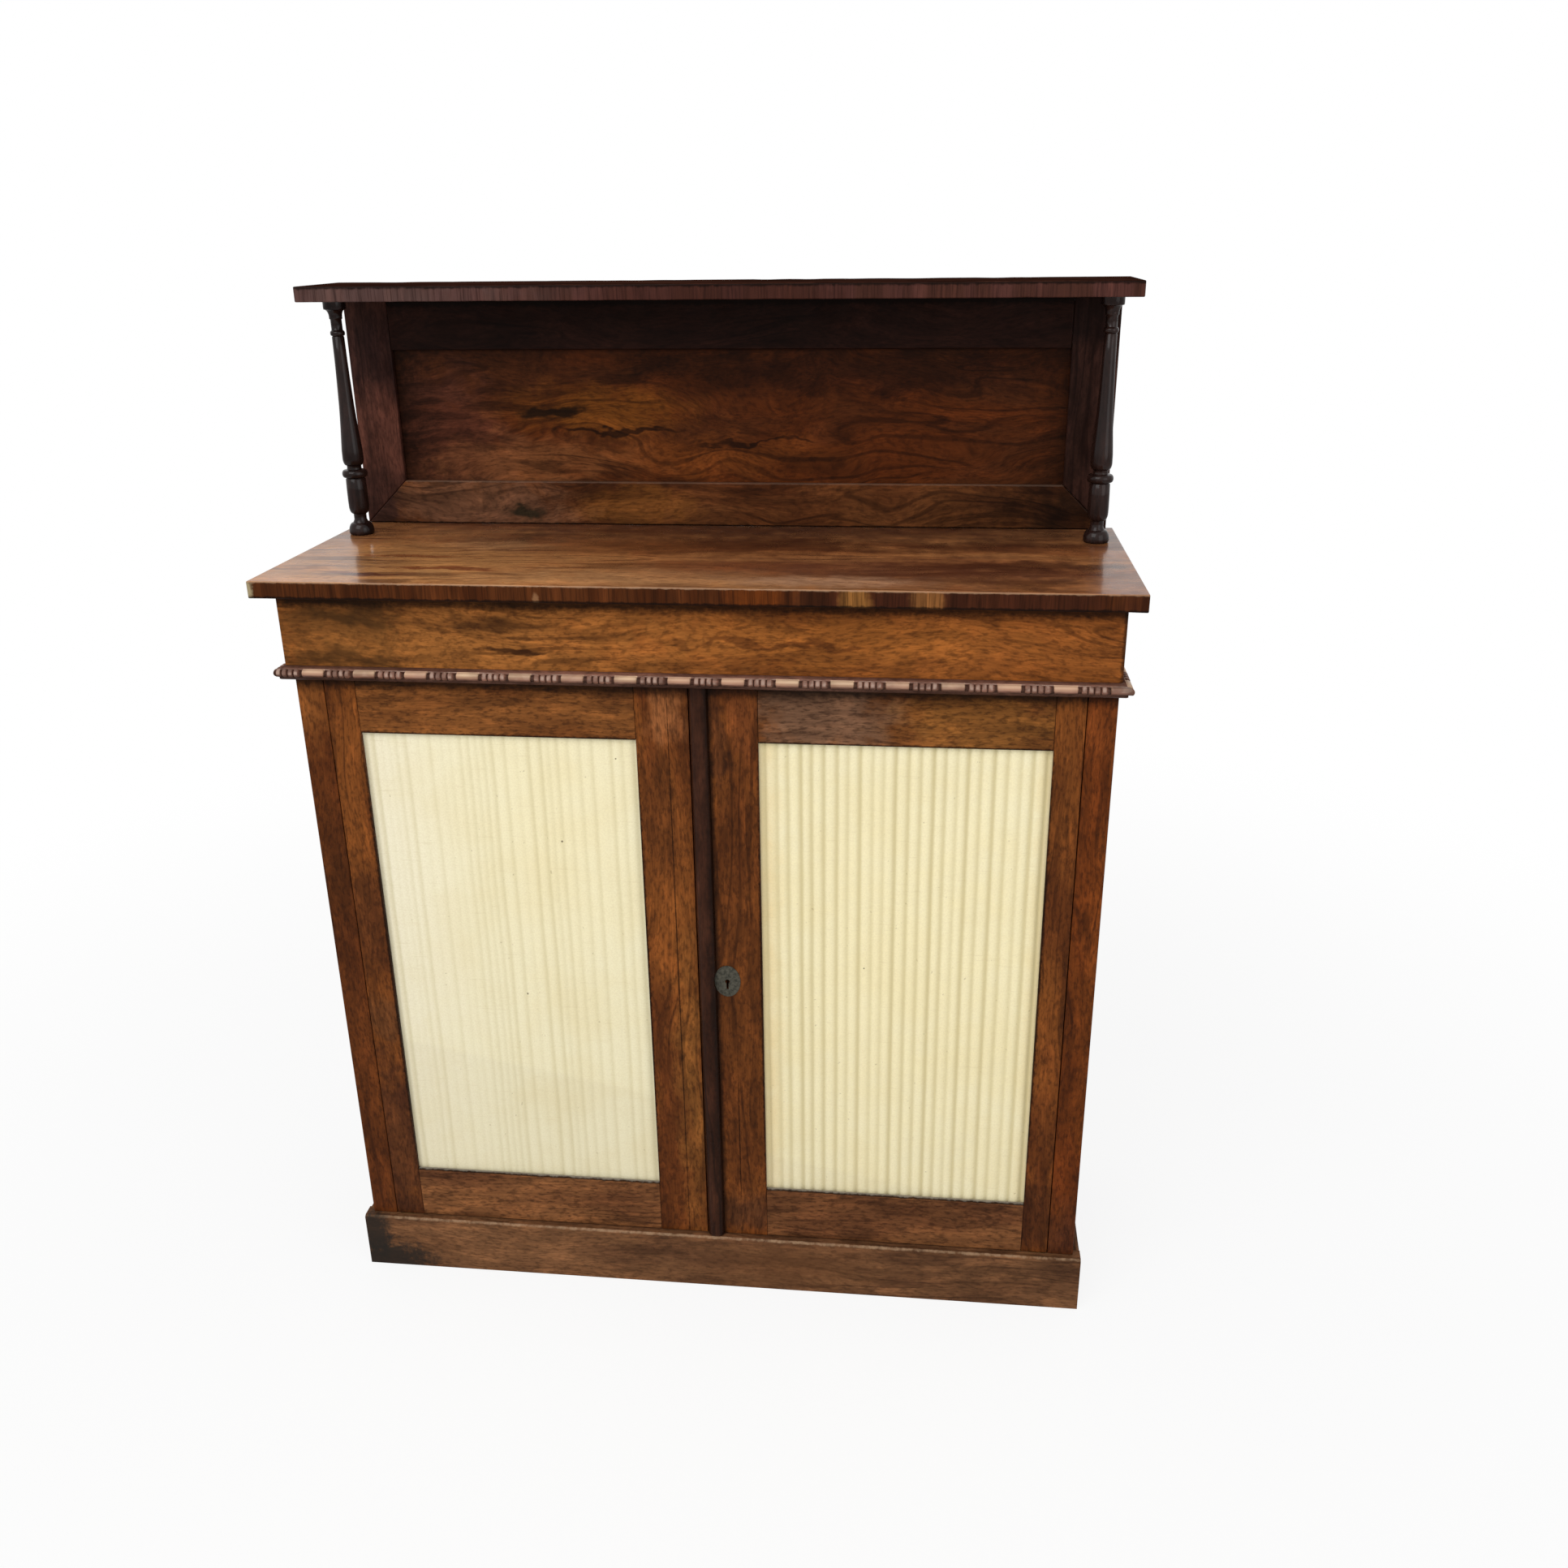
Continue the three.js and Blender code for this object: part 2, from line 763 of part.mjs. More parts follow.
function buildDoor(group, { name, sign }) {
  const pieces = doorPieces(sign, doorSpecs[name]);
  for (const piece of Object.values(pieces)) {
    piece.translate(doorLeftEdge(sign), doorFace, doorBottom);
  }
  const pivotRecesses = [atTopPivot(pivotPlateRecess(), sign), atBottomPivot(pivotPlateRecess(), sign)];
  const outer = cut(pieces.outerStile, ...pivotRecesses);
  const lockCuts = [lockRecess(), keyholeTool([doorFace - overrun, doorBack])];
  const boltCuts = [atDoorTop(flushBoltParts().recess), atDoorBottom(flushBoltParts().recess), lockStrike()];
  const inner = cut(pieces.innerStile, ...(sign > 0 ? lockCuts : boltCuts));
  add(group, `${name}_door_outer_stile`, outer, rosewood);
  add(group, `${name}_door_inner_stile`, inner, rosewood);
  add(group, `${name}_door_top_rail`, pieces.topRail, rosewood);
  add(group, `${name}_door_bottom_rail`, pieces.bottomRail, rosewood);
  add(group, `${name}_door_silk`, pieces.silk, silk);
  add(group, `${name}_door_backing`, pieces.backing, carcaseWood);
  add(group, `${name}_top_pivot`, atTopPivot(pivotPlate(), sign), brass);
  add(group, `${name}_bottom_pivot`, atBottomPivot(pivotPlate(), sign), brass);
  add(group, `${name}_top_socket`, atTopPivot(pivotSocket(doorTopGap), sign), brass);
  add(group, `${name}_bottom_socket`, atBottomPivot(pivotSocket(doorBottomGap), sign), brass);
}

function buildDoorFittings(group) {
  add(group, 'astragal', astragal(), ebonisedWood);
  add(group, 'escutcheon', escutcheon(), agedBrass);
  add(group, 'lock_case', lockCase(), brass);
  add(group, 'lock_bolt', lockBolt(), steel);
  add(group, 'top_bolt_plate', atDoorTop(flushBoltParts().plate), brass);
  add(group, 'top_bolt', atDoorTop(flushBoltParts().bolt), brass);
  add(group, 'bottom_bolt_plate', atDoorBottom(flushBoltParts().plate), brass);
  add(group, 'bottom_bolt', atDoorBottom(flushBoltParts().bolt), brass);
}

// Raised shelf, drawn with z = 0 on the worktop.
// The back frame: the two lower corners are mitred, and the top rail stands between the stiles
function buildBackFrame(group) {
  const half = worktopWidth / 2 - backFrameInset;
  const innerHalf = half - backStileWidth;
  const y = [backEdge - backFrameThickness, backEdge];
  const z = [seat, spaceUnderShelf - seat];
  const railTop = z[0] + backBottomRailHeight;
  const openingTop = z[1] - backTopRailHeight;
  const mitreGap = seat * Math.SQRT2;
  const opening = { x: [-innerHalf, innerHalf], z: [railTop, openingTop] };
  const rebate = block(
    grown(opening.x, backFrameRebate),
    [y[0] + backFrameLip, y[1] + overrun],
    grown(opening.z, backFrameRebate),
  );
  const stile = (sign) => {
    const outline = [
      [half, z[0]],
      [half, z[1]],
      [innerHalf, z[1]],
      [innerHalf, railTop],
    ].map(([x, height]) => [sign * x, height]);
    return cut(prismAlongY(outline, y), rebate);
  };
  const bottomOutline = [
    [-half + mitreGap, z[0]],
    [half - mitreGap, z[0]],
    [innerHalf - mitreGap, railTop],
    [-innerHalf + mitreGap, railTop],
  ];
  const topRail = block(grown(opening.x, -seat), y, [openingTop, z[1]]);
  const panel = block(
    grown(opening.x, backFrameRebate - seat),
    [y[0] + backFrameLip + seat, y[1] - seat],
    grown(opening.z, backFrameRebate - seat),
  );
  add(group, 'back_stile_left', stile(-1), rosewood);
  add(group, 'back_stile_right', stile(1), rosewood);
  add(group, 'back_bottom_rail', cut(prismAlongY(bottomOutline, y), rebate), rosewood);
  add(group, 'back_top_rail', cut(topRail, rebate), rosewood);
  add(group, 'back_panel', panel, rosewood);
}

// One turned column, standing on z = 0. Radii are shares of its foot's radius, heights of its height.
function columnGeometry(height) {
  const turningShares = [
    [1, 0],
    [1, 0.022],
    [0.86, 0.03],
    [0.66, 0.045],
    [0.5, 0.07],
    [0.5, 0.09],
    [0.66, 0.1],
    [0.78, 0.118],
    [0.82, 0.17],
    [0.78, 0.246],
    [0.7, 0.256],
    [1, 0.262],
    [1, 0.28],
    [0.56, 0.292],
    [0.56, 0.306],
    [0.78, 0.32],
    [0.66, 0.58],
    [0.47, 0.852],
    [0.54, 0.866],
    [0.54, 0.878],
    [0.44, 0.886],
    [0.44, 0.928],
    [0.66, 0.942],
    [0.86, 0.975],
    [0.86, 1],
  ];
  const profile = turningShares.map(
    ([radius, rise]) => new THREE.Vector2(radius * columnRadius, rise * height),
  );
  const closed = [new THREE.Vector2(0, 0), ...profile, new THREE.Vector2(0, height)];
  return new THREE.LatheGeometry(closed, columnSides).rotateX(Math.PI / 2);
}

function buildRaisedShelf(group) {
  buildBackFrame(group);
  for (const { name, sign } of sides) {
    const column = add(group, `column_${name}`, columnGeometry(spaceUnderShelf - 2 * seat), turnedRosewood);
    column.position.set(sign * (worktopWidth / 2 - columnInset), backEdge - columnFromBack, seat);
  }
  const shelf = wornBoard(
    around(0, worktopWidth - 2 * shelfEndInset),
    [backEdge - shelfDepth, backEdge],
    [spaceUnderShelf, spaceUnderShelf + shelfThickness],
    boardArris,
  );
  add(group, 'upper_shelf', shelf, polishedRosewood);
}

// The whole piece

const chiffonier = new THREE.Group();

const worktop = wornBoard(
  around(0, worktopWidth),
  [frontEdge, backEdge],
  [underWorktop, worktopHeight],
  boardArris,
);
add(chiffonier, 'worktop', worktop, polishedRosewood);
buildCarcase(chiffonier);
buildInnerShelf(chiffonier);
buildMoulding(chiffonier);
for (const side of sides) {
  buildDoor(chiffonier, side);
}
buildDoorFittings(chiffonier);

const raisedShelf = new THREE.Group();
raisedShelf.position.z = worktopHeight;
buildRaisedShelf(raisedShelf);
chiffonier.add(raisedShelf);

export default chiffonier;
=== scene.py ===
"""Dresses the rosewood chiffonier: its timbers, turnings, bead moulding, pleated silks and brass."""

import json
import math
import random
from typing import NamedTuple

import bmesh
import bpy
from bpy.props import FloatProperty, FloatVectorProperty, IntProperty, PointerProperty
from mathutils import Euler, Matrix, Vector, noise

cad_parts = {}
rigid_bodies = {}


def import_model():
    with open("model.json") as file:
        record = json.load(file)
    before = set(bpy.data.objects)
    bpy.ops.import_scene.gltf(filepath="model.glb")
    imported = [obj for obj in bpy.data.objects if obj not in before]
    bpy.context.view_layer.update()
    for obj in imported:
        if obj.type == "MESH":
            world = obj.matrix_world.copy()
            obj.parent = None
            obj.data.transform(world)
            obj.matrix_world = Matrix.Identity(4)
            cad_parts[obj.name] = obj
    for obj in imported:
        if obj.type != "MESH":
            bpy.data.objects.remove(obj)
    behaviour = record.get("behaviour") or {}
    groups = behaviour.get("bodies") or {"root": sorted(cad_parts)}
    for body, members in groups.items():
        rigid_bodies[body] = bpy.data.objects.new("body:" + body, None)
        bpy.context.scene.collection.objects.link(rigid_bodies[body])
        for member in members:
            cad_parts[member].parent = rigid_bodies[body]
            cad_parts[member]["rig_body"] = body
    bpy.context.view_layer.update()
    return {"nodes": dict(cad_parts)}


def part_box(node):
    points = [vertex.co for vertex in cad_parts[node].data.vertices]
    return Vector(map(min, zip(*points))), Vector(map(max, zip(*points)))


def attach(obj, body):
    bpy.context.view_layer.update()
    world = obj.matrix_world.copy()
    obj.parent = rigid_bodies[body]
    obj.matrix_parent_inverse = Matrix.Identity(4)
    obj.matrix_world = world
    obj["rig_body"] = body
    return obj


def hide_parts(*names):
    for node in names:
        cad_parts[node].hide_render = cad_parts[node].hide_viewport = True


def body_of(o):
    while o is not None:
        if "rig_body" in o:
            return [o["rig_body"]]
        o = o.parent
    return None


bl_info = {
    "name": "Rosewood Chiffonier",
    "version": (1, 0, 0),
    "blender": (4, 5, 0),
    "location": "3D View > Sidebar > Chiffonier",
    "description": "Builds the visible pieces of a rosewood chiffonier round its construction model",
    "category": "Object",
}

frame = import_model()

SIDES = ("left", "right")
AXES = "XYZ"
WORN_ARRIS = 0.0006
FRAME_ARRIS, PLINTH_ARRIS, METAL_ARRIS, BOLT_ARRIS = 0.0016, 0.0012, 0.0003, 0.0005
FACE_SNAP = 1e-5
FLAT_NORMAL = 0.9995
FLAT_TURN, BANDED_TURN = 0.99, 0.5
CLOUD_GRAIN = 0.026
PATCH_FRAY = 0.9
VEIN_TURNS = 74.0
CLOUD_CURL = 0.05
MARK_GRAIN = 0.007
DOOR_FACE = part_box("left_door_outer_stile")[0].y
WHITE = (1, 1, 1)
ENDLESS = 9


def tint(code):
    """A colour written as 0xRRGGBB, as linear red, green and blue."""
    channels = [(code >> shift & 255) / 255 for shift in (16, 8, 0)]
    return tuple(c / 12.92 if c <= 0.04045 else ((c + 0.055) / 1.055) ** 2.4 for c in channels)


# Settings


def length_of(name, description, default):
    """A length that can be changed, in metres."""
    return FloatProperty(name=name, description=description, default=default, unit="LENGTH")


def share_of(name, description, default, low=0.0):
    """A share that can be changed, from low up to one."""
    return FloatProperty(name=name, description=description, default=default, min=low, max=1)


def angle_of(name, description, degrees):
    """An angle that can be changed."""
    return FloatProperty(name=name, description=description, default=math.radians(degrees), unit="ROTATION")


def power_of(name, description, default):
    """A lamp's power that can be changed."""
    return FloatProperty(name=name, description=description, default=default, unit="POWER")


def colour_of(name, description, code):
    """A colour that can be changed, written as 0xRRGGBB."""
    return FloatVectorProperty(name=name, description=description, subtype="COLOR", default=tint(code))


class TimberSettings(bpy.types.PropertyGroup):
    """Polish and wear of the rosewood."""

    polish: share_of("Polish", "Roughness of the polished faces", 0.34, 0.05)
    top_polish: share_of("Worktop polish", "Roughness of the worktop's lacquer", 0.12, 0.02)
    pore_depth: length_of("Pore depth", "How deep the open pores look", 0.0002)
    board_arris: length_of("Worn arris", "Radius of the boards' worn edges", 0.0009)
    top_arris: length_of("Top arris", "Radius of the two tops' worn edges", 0.0014)


class SilkSettings(bpy.types.PropertyGroup):
    """The pleated silks in the doors."""

    colour: colour_of("Silk", "Colour of the crowns", 0xF3EBC8)
    # The fold colour and the two fold shares paint shade down in the pleats.
    fold_shade_colour: colour_of("Folds", "Colour down in the folds", 0xC4B686)
    left_fold_shade: share_of("Left folds", "How dark the folds are on the left", 0.44)
    right_fold_shade: share_of("Right folds", "How dark the folds are on the right", 0.76)
    left_pitch: length_of("Left pitch", "Width of a pleat on the left", 0.012)
    right_pitch: length_of("Right pitch", "Width of a pleat on the right", 0.0142)
    left_depth: length_of("Left depth", "Depth of a fold on the left", 0.0007)
    right_depth: length_of("Right depth", "Depth of a fold on the right", 0.0026)
    thickness: length_of("Thickness", "Thickness of the silk", 0.0004)


class TurningSettings(bpy.types.PropertyGroup):
    """Turned work: the columns and the bead-and-reel moulding."""

    steps: IntProperty(name="Steps", description="Facets round a column", default=48, min=12)
    bead_steps: IntProperty(name="Bead steps", description="Facets round a bead", default=16, min=8)
    period: length_of("Period", "Length of one bar and its beads", 0.062)
    bar_length: length_of("Bar", "Length of a plain bar", 0.0265)
    bar_middle: length_of("Bar middle", "Where one bar's middle lies along the front", 0.0492)
    beads: IntProperty(name="Beads", description="Beads between two bars", default=4, min=1)
    bead_gap: length_of("Gap", "Plain neck between a bar and its first bead", 0.0034)
    bead_radius: length_of("Bead radius", "Radius of a bead", 0.005)
    bar_radius: length_of("Bar radius", "Radius of a plain bar", 0.0046)
    neck_radius: length_of("Neck radius", "Radius between two beads", 0.0028)
    bead_height: length_of("Bead height", "Height of the beads' axis in the moulding", 0.0085)
    strip_projection: length_of("Strip", "How far the strip behind the beads stands out", 0.006)


class FittingSettings(bpy.types.PropertyGroup):
    """Brass, bronze and steel."""

    brass: colour_of("Brass", "Brass of the bolts and pivots", 0xA98A50)
    bronze: colour_of("Bronze", "Aged metal of the escutcheon", 0x504D42)
    steel: colour_of("Steel", "Steel of the lock bolt", 0x8A8A8C)
    dome: length_of("Dome", "Rise of the escutcheon's middle", 0.0012)


class StageSettings(bpy.types.PropertyGroup):
    """Camera, lamps and floor."""

    camera_place: FloatVectorProperty(
        name="Camera",
        description="Where the camera stands",
        subtype="TRANSLATION",
        unit="LENGTH",
        default=(0.26992, -1.63797, 1.35636),
    )
    camera_tilt: angle_of("Tilt", "Downward tilt of the view", 21.8285)
    camera_turn: angle_of("Turn", "Turn of the view to the left", 6.3013)
    camera_roll: angle_of("Roll", "Roll of the camera", -0.6619)
    lens: FloatProperty(name="Lens", description="Focal length in millimetres", default=31.754)
    world_light: FloatProperty(name="Room light", description="Light from all round", default=0.6, min=0)
    key_power: power_of("Key", "Power of the main soft lamp", 56)
    fill_power: power_of("Fill", "Power of the side lamp", 14)
    floor: FloatVectorProperty(
        name="Floor", description="Colour of the floor", subtype="COLOR", default=(0.86, 0.86, 0.86)
    )


def settings():
    """All the settings, as kept on the scene."""
    return bpy.context.scene.chiffonier


class ChiffonierSettings(bpy.types.PropertyGroup):
    """Everything that can be changed before the pieces are built."""

    timber: PointerProperty(type=TimberSettings)
    silk: PointerProperty(type=SilkSettings)
    turning: PointerProperty(type=TurningSettings)
    fittings: PointerProperty(type=FittingSettings)
    stage: PointerProperty(type=StageSettings)


# Finishes


class Tree:
    """A node tree, with a short call for each kind of node."""

    def __init__(self, tree):
        self.nodes, self.links = tree.nodes, tree.links

    def put(self, socket, value):
        """Links an output to a socket, or sets the socket's own value."""
        if isinstance(value, bpy.types.NodeSocket):
            self.links.new(value, socket)
        elif socket.type == "RGBA" and len(value) == 3:
            socket.default_value = (*value, 1)
        else:
            socket.default_value = value

    def node(self, kind, sockets=None, **choices):
        """Adds a node with its choices, gives values or links to its sockets, and returns its outputs."""
        node = self.nodes.new(f"ShaderNode{kind}")
        for name, choice in choices.items():
            setattr(node, name, choice)
        for socket, value in (sockets or {}).items():
            self.put(node.inputs[socket], value)
        return node.outputs

    def math(self, operation, first, second=0.0):
        return self.node("Math", {0: first, 1: second}, operation=operation)[0]

    def product(self, first, *others):
        """Several shares multiplied together."""
        for other in others:
            first = self.math("MULTIPLY", first, other)
        return first


class Graph(Tree):
    """The node tree of one finish."""

    def __init__(self, material):
        material.use_nodes = True
        super().__init__(material.node_tree)
        self.material = material
        self.shader = self.nodes["Principled BSDF"]
        self.place = self.node("TexCoord")["Object"]

    def surface(self, **values):
        """Sets the shader's sockets by name, with spaces written as underscores."""
        for name, value in values.items():
            self.put(self.shader.inputs[name.replace("_", " ")], value)

    def mapped(self, scale, location=(0, 0, 0), vector=None):
        sockets = {"Vector": vector or self.place, "Scale": scale, "Location": location}
        return self.node("Mapping", sockets)["Vector"]

    def noise(self, vector, scale, detail=2.0, roughness=0.5, distortion=0.0, colour=False):
        sockets = {"Vector": vector, "Scale": scale, "Detail": detail, "Roughness": roughness}
        return self.node("TexNoise", sockets | {"Distortion": distortion})[int(colour)]

    def vector(self, operation, first, second=(0, 0, 0), scale=None):
        other = {1: second} if scale is None else {"Scale": scale}
        outputs = self.node("VectorMath", {0: first} | other, operation=operation)
        return outputs["Value" if operation in ("LENGTH", "DOT_PRODUCT") else "Vector"]

    def ramp(self, value, low, high, start=0.0, end=1.0):
        """A smooth step from start at low to end at high."""
        sockets = dict(enumerate((value, low, high, start, end)))
        return self.node("MapRange", sockets, interpolation_type="SMOOTHSTEP")[0]

    def mix(self, share, first, second, kind="MIX"):
        return self.node("Mix", {0: share, 6: first, 7: second}, data_type="RGBA", blend_type=kind)[2]

    def stain(self, colour, value, low, high, share, code):
        """Lays another colour over a colour, up to a share of it, as a value goes from low to high."""
        return self.mix(self.ramp(value, low, high, 0.0, share), colour, tint(code))

    def bump(self, height, strength, distance):
        return self.node("Bump", {"Height": height, "Strength": strength, "Distance": distance})["Normal"]


def new_graph(name):
    """The graph of a new finish."""
    return Graph(bpy.data.materials.new(name))


class Patch(NamedTuple):
    """A cloud of another colour in a board or silk: worn, stained or richer than the rest, or painted shade,
    light or reflection.
    """

    centre: tuple
    radii: tuple
    colour: int
    strength: float = 0.6
    blur: float = 0.25


class Timber(NamedTuple):
    """How the rosewood of one board looks."""

    grain: str
    ground: int
    warm: int
    dark: int
    seed: float
    streak: float = 0.6
    figure: float = 0.012
    pores: float = 0.7
    rough: float = 1.0
    coat: float = 0.0
    gloss: float = 0.04
    size: float = 1.0
    glow: float = 1.5
    patches: tuple = ()
    marks: tuple = ()


def along_grain(axis, share):
    """Scales that draw a pattern out along one axis."""
    return tuple(share if name == axis else 1 for name in AXES)


def add_patches(graph, colour, patches, grain_size, place=None):
    """Lays clouds of colour, broken at their edges by noise of one grain size, over a colour."""
    if not patches:
        return colour
    broken = graph.noise(graph.place, 1 / grain_size, 3, 0.6)
    for patch in patches:
        shifted = graph.vector("SUBTRACT", place or graph.place, patch.centre)
        apart = graph.vector("LENGTH", graph.vector("DIVIDE", shifted, patch.radii))
        edge = graph.math("ADD", apart, graph.product(broken, PATCH_FRAY))
        colour = graph.stain(colour, edge, 1 + patch.blur, 1 - patch.blur, patch.strength, patch.colour)
    return colour


def rosewood(name, look):
    """Rosewood: clouds of gold and brown, dark flowing veins along the grain, dashes of open pores."""
    graph = new_graph(name)
    wood = settings().timber
    offset = (look.seed * 1.7, look.seed * 0.9, look.seed * 1.3)

    def shaken(share, size, detail, roughness, reach):
        """How far noise moves a pattern from its place, so that it flows or curls."""
        stretched = graph.mapped(along_grain(look.grain, share), offset)
        shake = graph.noise(stretched, size, detail, roughness, colour=True)
        return graph.vector("SCALE", graph.vector("SUBTRACT", shake, (0.5, 0.5, 0.5)), scale=reach)

    flowing = graph.vector("ADD", graph.mapped((1, 1, 1), offset), shaken(0.4, 7, 2, 0.5, look.figure * 4))
    curled = graph.vector("ADD", graph.place, shaken(0.5, 34, 3, 0.6, CLOUD_CURL))

    def grain(share, size, detail=2, roughness=0.6):
        """Noise drawn out along the flowing grain."""
        stretched = graph.mapped(along_grain(look.grain, share), vector=flowing)
        return graph.noise(stretched, size, detail, roughness)

    broad = graph.ramp(grain(0.25, 15 / look.size, 4), 0.38, 0.62)
    colour = graph.mix(broad, tint(look.ground), tint(look.warm))
    colour = add_patches(graph, colour, look.patches, CLOUD_GRAIN, curled)
    bright = (look.glow, look.glow * 0.97, look.glow * 0.94)
    glow = graph.ramp(grain(0.32, 56 / look.size, 4, 0.66), 0.45, 0.68)
    colour = graph.mix(glow, colour, bright, "MULTIPLY")
    colour = graph.stain(colour, grain(0.14, 40, 5, 0.68), 0.45, 0.68, look.streak, look.dark)

    level = grain(0.06, 17 / look.size, 2.5, 0.5)
    wave = graph.math("SINE", graph.product(level, VEIN_TURNS))
    where = grain(0.3, 11, 2, 0.5)
    vein = graph.product(graph.ramp(wave, 0.5, 1.0), graph.ramp(where, 0.44, 0.6), look.streak)
    colour = graph.mix(vein, colour, tint(look.dark))

    dash = grain(0.36, 270)
    colour = graph.stain(colour, dash, 0.42, 0.7, look.pores, look.dark)
    fibre = grain(0.04, 620)
    colour = graph.stain(colour, fibre, 0.3, 0.7, 0.26, look.dark)
    colour = add_patches(graph, colour, look.marks, MARK_GRAIN)

    smear = graph.noise(graph.mapped((1, 1, 1), offset), 26, 3, 0.6)
    dull = wood.polish * look.rough
    graph.surface(
        Base_Color=colour,
        Roughness=graph.ramp(smear, 0.3, 0.75, dull * 0.82, dull * 1.3),
        Specular_IOR_Level=look.gloss,
        Coat_Weight=look.coat,
        Coat_Roughness=wood.top_polish,
        Normal=graph.bump(graph.math("SUBTRACT", fibre, dash), 0.16, wood.pore_depth),
    )
    return graph.material


def cross_banding(name, look):
    """Veneer laid with its grain upright round the edge of a top, in short lengths of varying tone."""
    graph = new_graph(name)
    wood = settings().timber
    offset = (look.seed, look.seed * 0.7, look.seed * 1.9)
    broad = graph.noise(graph.mapped((1, 1, 0.15), offset), 26, 2, 0.6)
    colour = graph.mix(graph.ramp(broad, 0.42, 0.58), tint(look.ground), tint(look.warm))
    colour = add_patches(graph, colour, look.patches, CLOUD_GRAIN)
    stripe = graph.noise(graph.mapped((1, 1, 0.05), offset), 110, 3, 0.65)
    colour = graph.stain(colour, stripe, 0.44, 0.62, look.streak, look.dark)
    pale = graph.noise(graph.mapped((1, 1, 0.08), (look.seed, 3, 1)), 75, 2, 0.6)
    colour = graph.mix(graph.ramp(pale, 0.5, 0.72), colour, (1.4, 1.36, 1.32), "MULTIPLY")
    fine = graph.noise(graph.mapped((1, 1, 0.04), offset), 520, 2, 0.6)
    colour = graph.stain(colour, fine, 0.45, 0.7, 0.5, look.dark)
    colour = add_patches(graph, colour, look.marks, MARK_GRAIN)
    graph.surface(
        Base_Color=colour,
        Roughness=graph.ramp(broad, 0.3, 0.7, wood.polish * 0.9, wood.polish * 1.3),
        Specular_IOR_Level=look.gloss,
        Coat_Weight=look.coat,
        Coat_Roughness=wood.top_polish,
        Normal=graph.bump(fine, 0.2, wood.pore_depth),
    )
    return graph.material


def plain_wood(name, grain, light, dark, seed):
    """The unpolished wood inside and behind, dusty and open grained."""
    graph = new_graph(name)
    offset = (seed, seed * 1.4, seed * 0.6)
    broad = graph.noise(graph.mapped(along_grain(grain, 0.05), offset), 30, 4, 0.6, 0.4)
    colour = graph.mix(graph.ramp(broad, 0.35, 0.68), tint(light), tint(dark))
    fine = graph.noise(graph.mapped(along_grain(grain, 0.04), offset), 520, 2, 0.6)
    colour = graph.stain(colour, fine, 0.48, 0.75, 0.4, 0x4A3018)
    dust = graph.noise(graph.place, 6, 3, 0.6)
    graph.surface(
        Base_Color=graph.stain(colour, dust, 0.5, 0.75, 0.3, 0x5B4830),
        Roughness=graph.ramp(dust, 0.3, 0.7, 0.6, 0.8),
        Specular_IOR_Level=0.3,
        Normal=graph.bump(fine, 0.3, 0.0003),
    )
    return graph.material


def woven_silk(name, fold_shade_share, dim_below, tones, specks):
    """Cream silk with a ribbed weave and painted shade: darker down in its folds and towards the bottom,
    greyer below a slanting line.
    """
    graph = new_graph(name)
    cloth = settings().silk
    fold_shade = graph.node("Attribute", attribute_name="fold_shade")["Fac"]
    dust = graph.noise(graph.place, 9, 4, 0.6)
    crown = graph.stain(cloth.colour, dust, 0.38, 0.7, 0.35, 0xE4D3A0)
    crown = add_patches(graph, crown, tones, CLOUD_GRAIN)
    colour = graph.mix(graph.product(fold_shade, fold_shade_share), crown, cloth.fold_shade_colour)
    # Painted shade: darker towards the bottom, and greyer below a slanting line.
    fall = graph.vector("DOT_PRODUCT", graph.place, (0.2, 0, 1))
    colour = graph.stain(colour, fall, 0.7, 0.1, 0.1, 0xB9AC86)
    colour = graph.stain(colour, fall, dim_below, dim_below - 0.012, 0.08, 0xA69A8C)
    weft = graph.noise(graph.mapped((0.06, 0.06, 1)), 1600, 2, 0.6)
    warp = graph.noise(graph.mapped((1, 1, 0.05)), 1300, 2, 0.6)
    slub = graph.noise(graph.mapped((0.05, 0.05, 1)), 420, 2, 0.7)
    colour = graph.stain(colour, slub, 0.6, 0.78, 0.22, 0xC4AF7C)
    mottle = graph.noise(graph.place, 430, 3, 0.7)
    colour = graph.stain(colour, mottle, 0.36, 0.66, 0.17, 0xC2AE80)
    speck = graph.noise(graph.place, 170, 1, 0.5)
    colour = graph.stain(colour, speck, 0.76, 0.82, 0.4, 0x9A8458)
    graph.surface(
        Base_Color=add_patches(graph, colour, specks, MARK_GRAIN),
        Roughness=graph.ramp(dust, 0.3, 0.7, 0.56, 0.68),
        Specular_IOR_Level=0.3,
        Sheen_Weight=0.25,
        Sheen_Roughness=0.4,
        Normal=graph.bump(graph.math("ADD", weft, warp), 0.25, 0.0002),
    )
    return graph.material


def old_metal(name, colour, tarnish, roughness, seed, metallic=1.0):
    """Metal dulled by age, with darker tarnish in clouds and fine scratches."""
    graph = new_graph(name)
    cloud = graph.noise(graph.mapped((1, 1, 1), (seed, seed, seed)), 210, 4, 0.65)
    spots = graph.noise(graph.mapped((1, 1, 1), (seed, 0, seed)), 800, 2, 0.6)
    shown = graph.stain(colour, cloud, 0.38, 0.64, 1.0, tarnish)
    scratch = graph.noise(graph.mapped((1, 1, 0.08)), 1900, 1, 0.5)
    graph.surface(
        Base_Color=graph.stain(shown, spots, 0.56, 0.7, 0.5, tarnish),
        Metallic=metallic,
        Roughness=graph.ramp(cloud, 0.3, 0.7, roughness * 0.8, roughness * 1.3),
        Normal=graph.bump(graph.math("ADD", scratch, spots), 0.15, 0.0001),
    )
    return graph.material


# Modelling by hand


def pick(piece):
    """Makes one piece the only one selected, and the active one."""
    bpy.ops.object.select_all(action="DESELECT")
    bpy.context.view_layer.objects.active = piece
    piece.select_set(True)


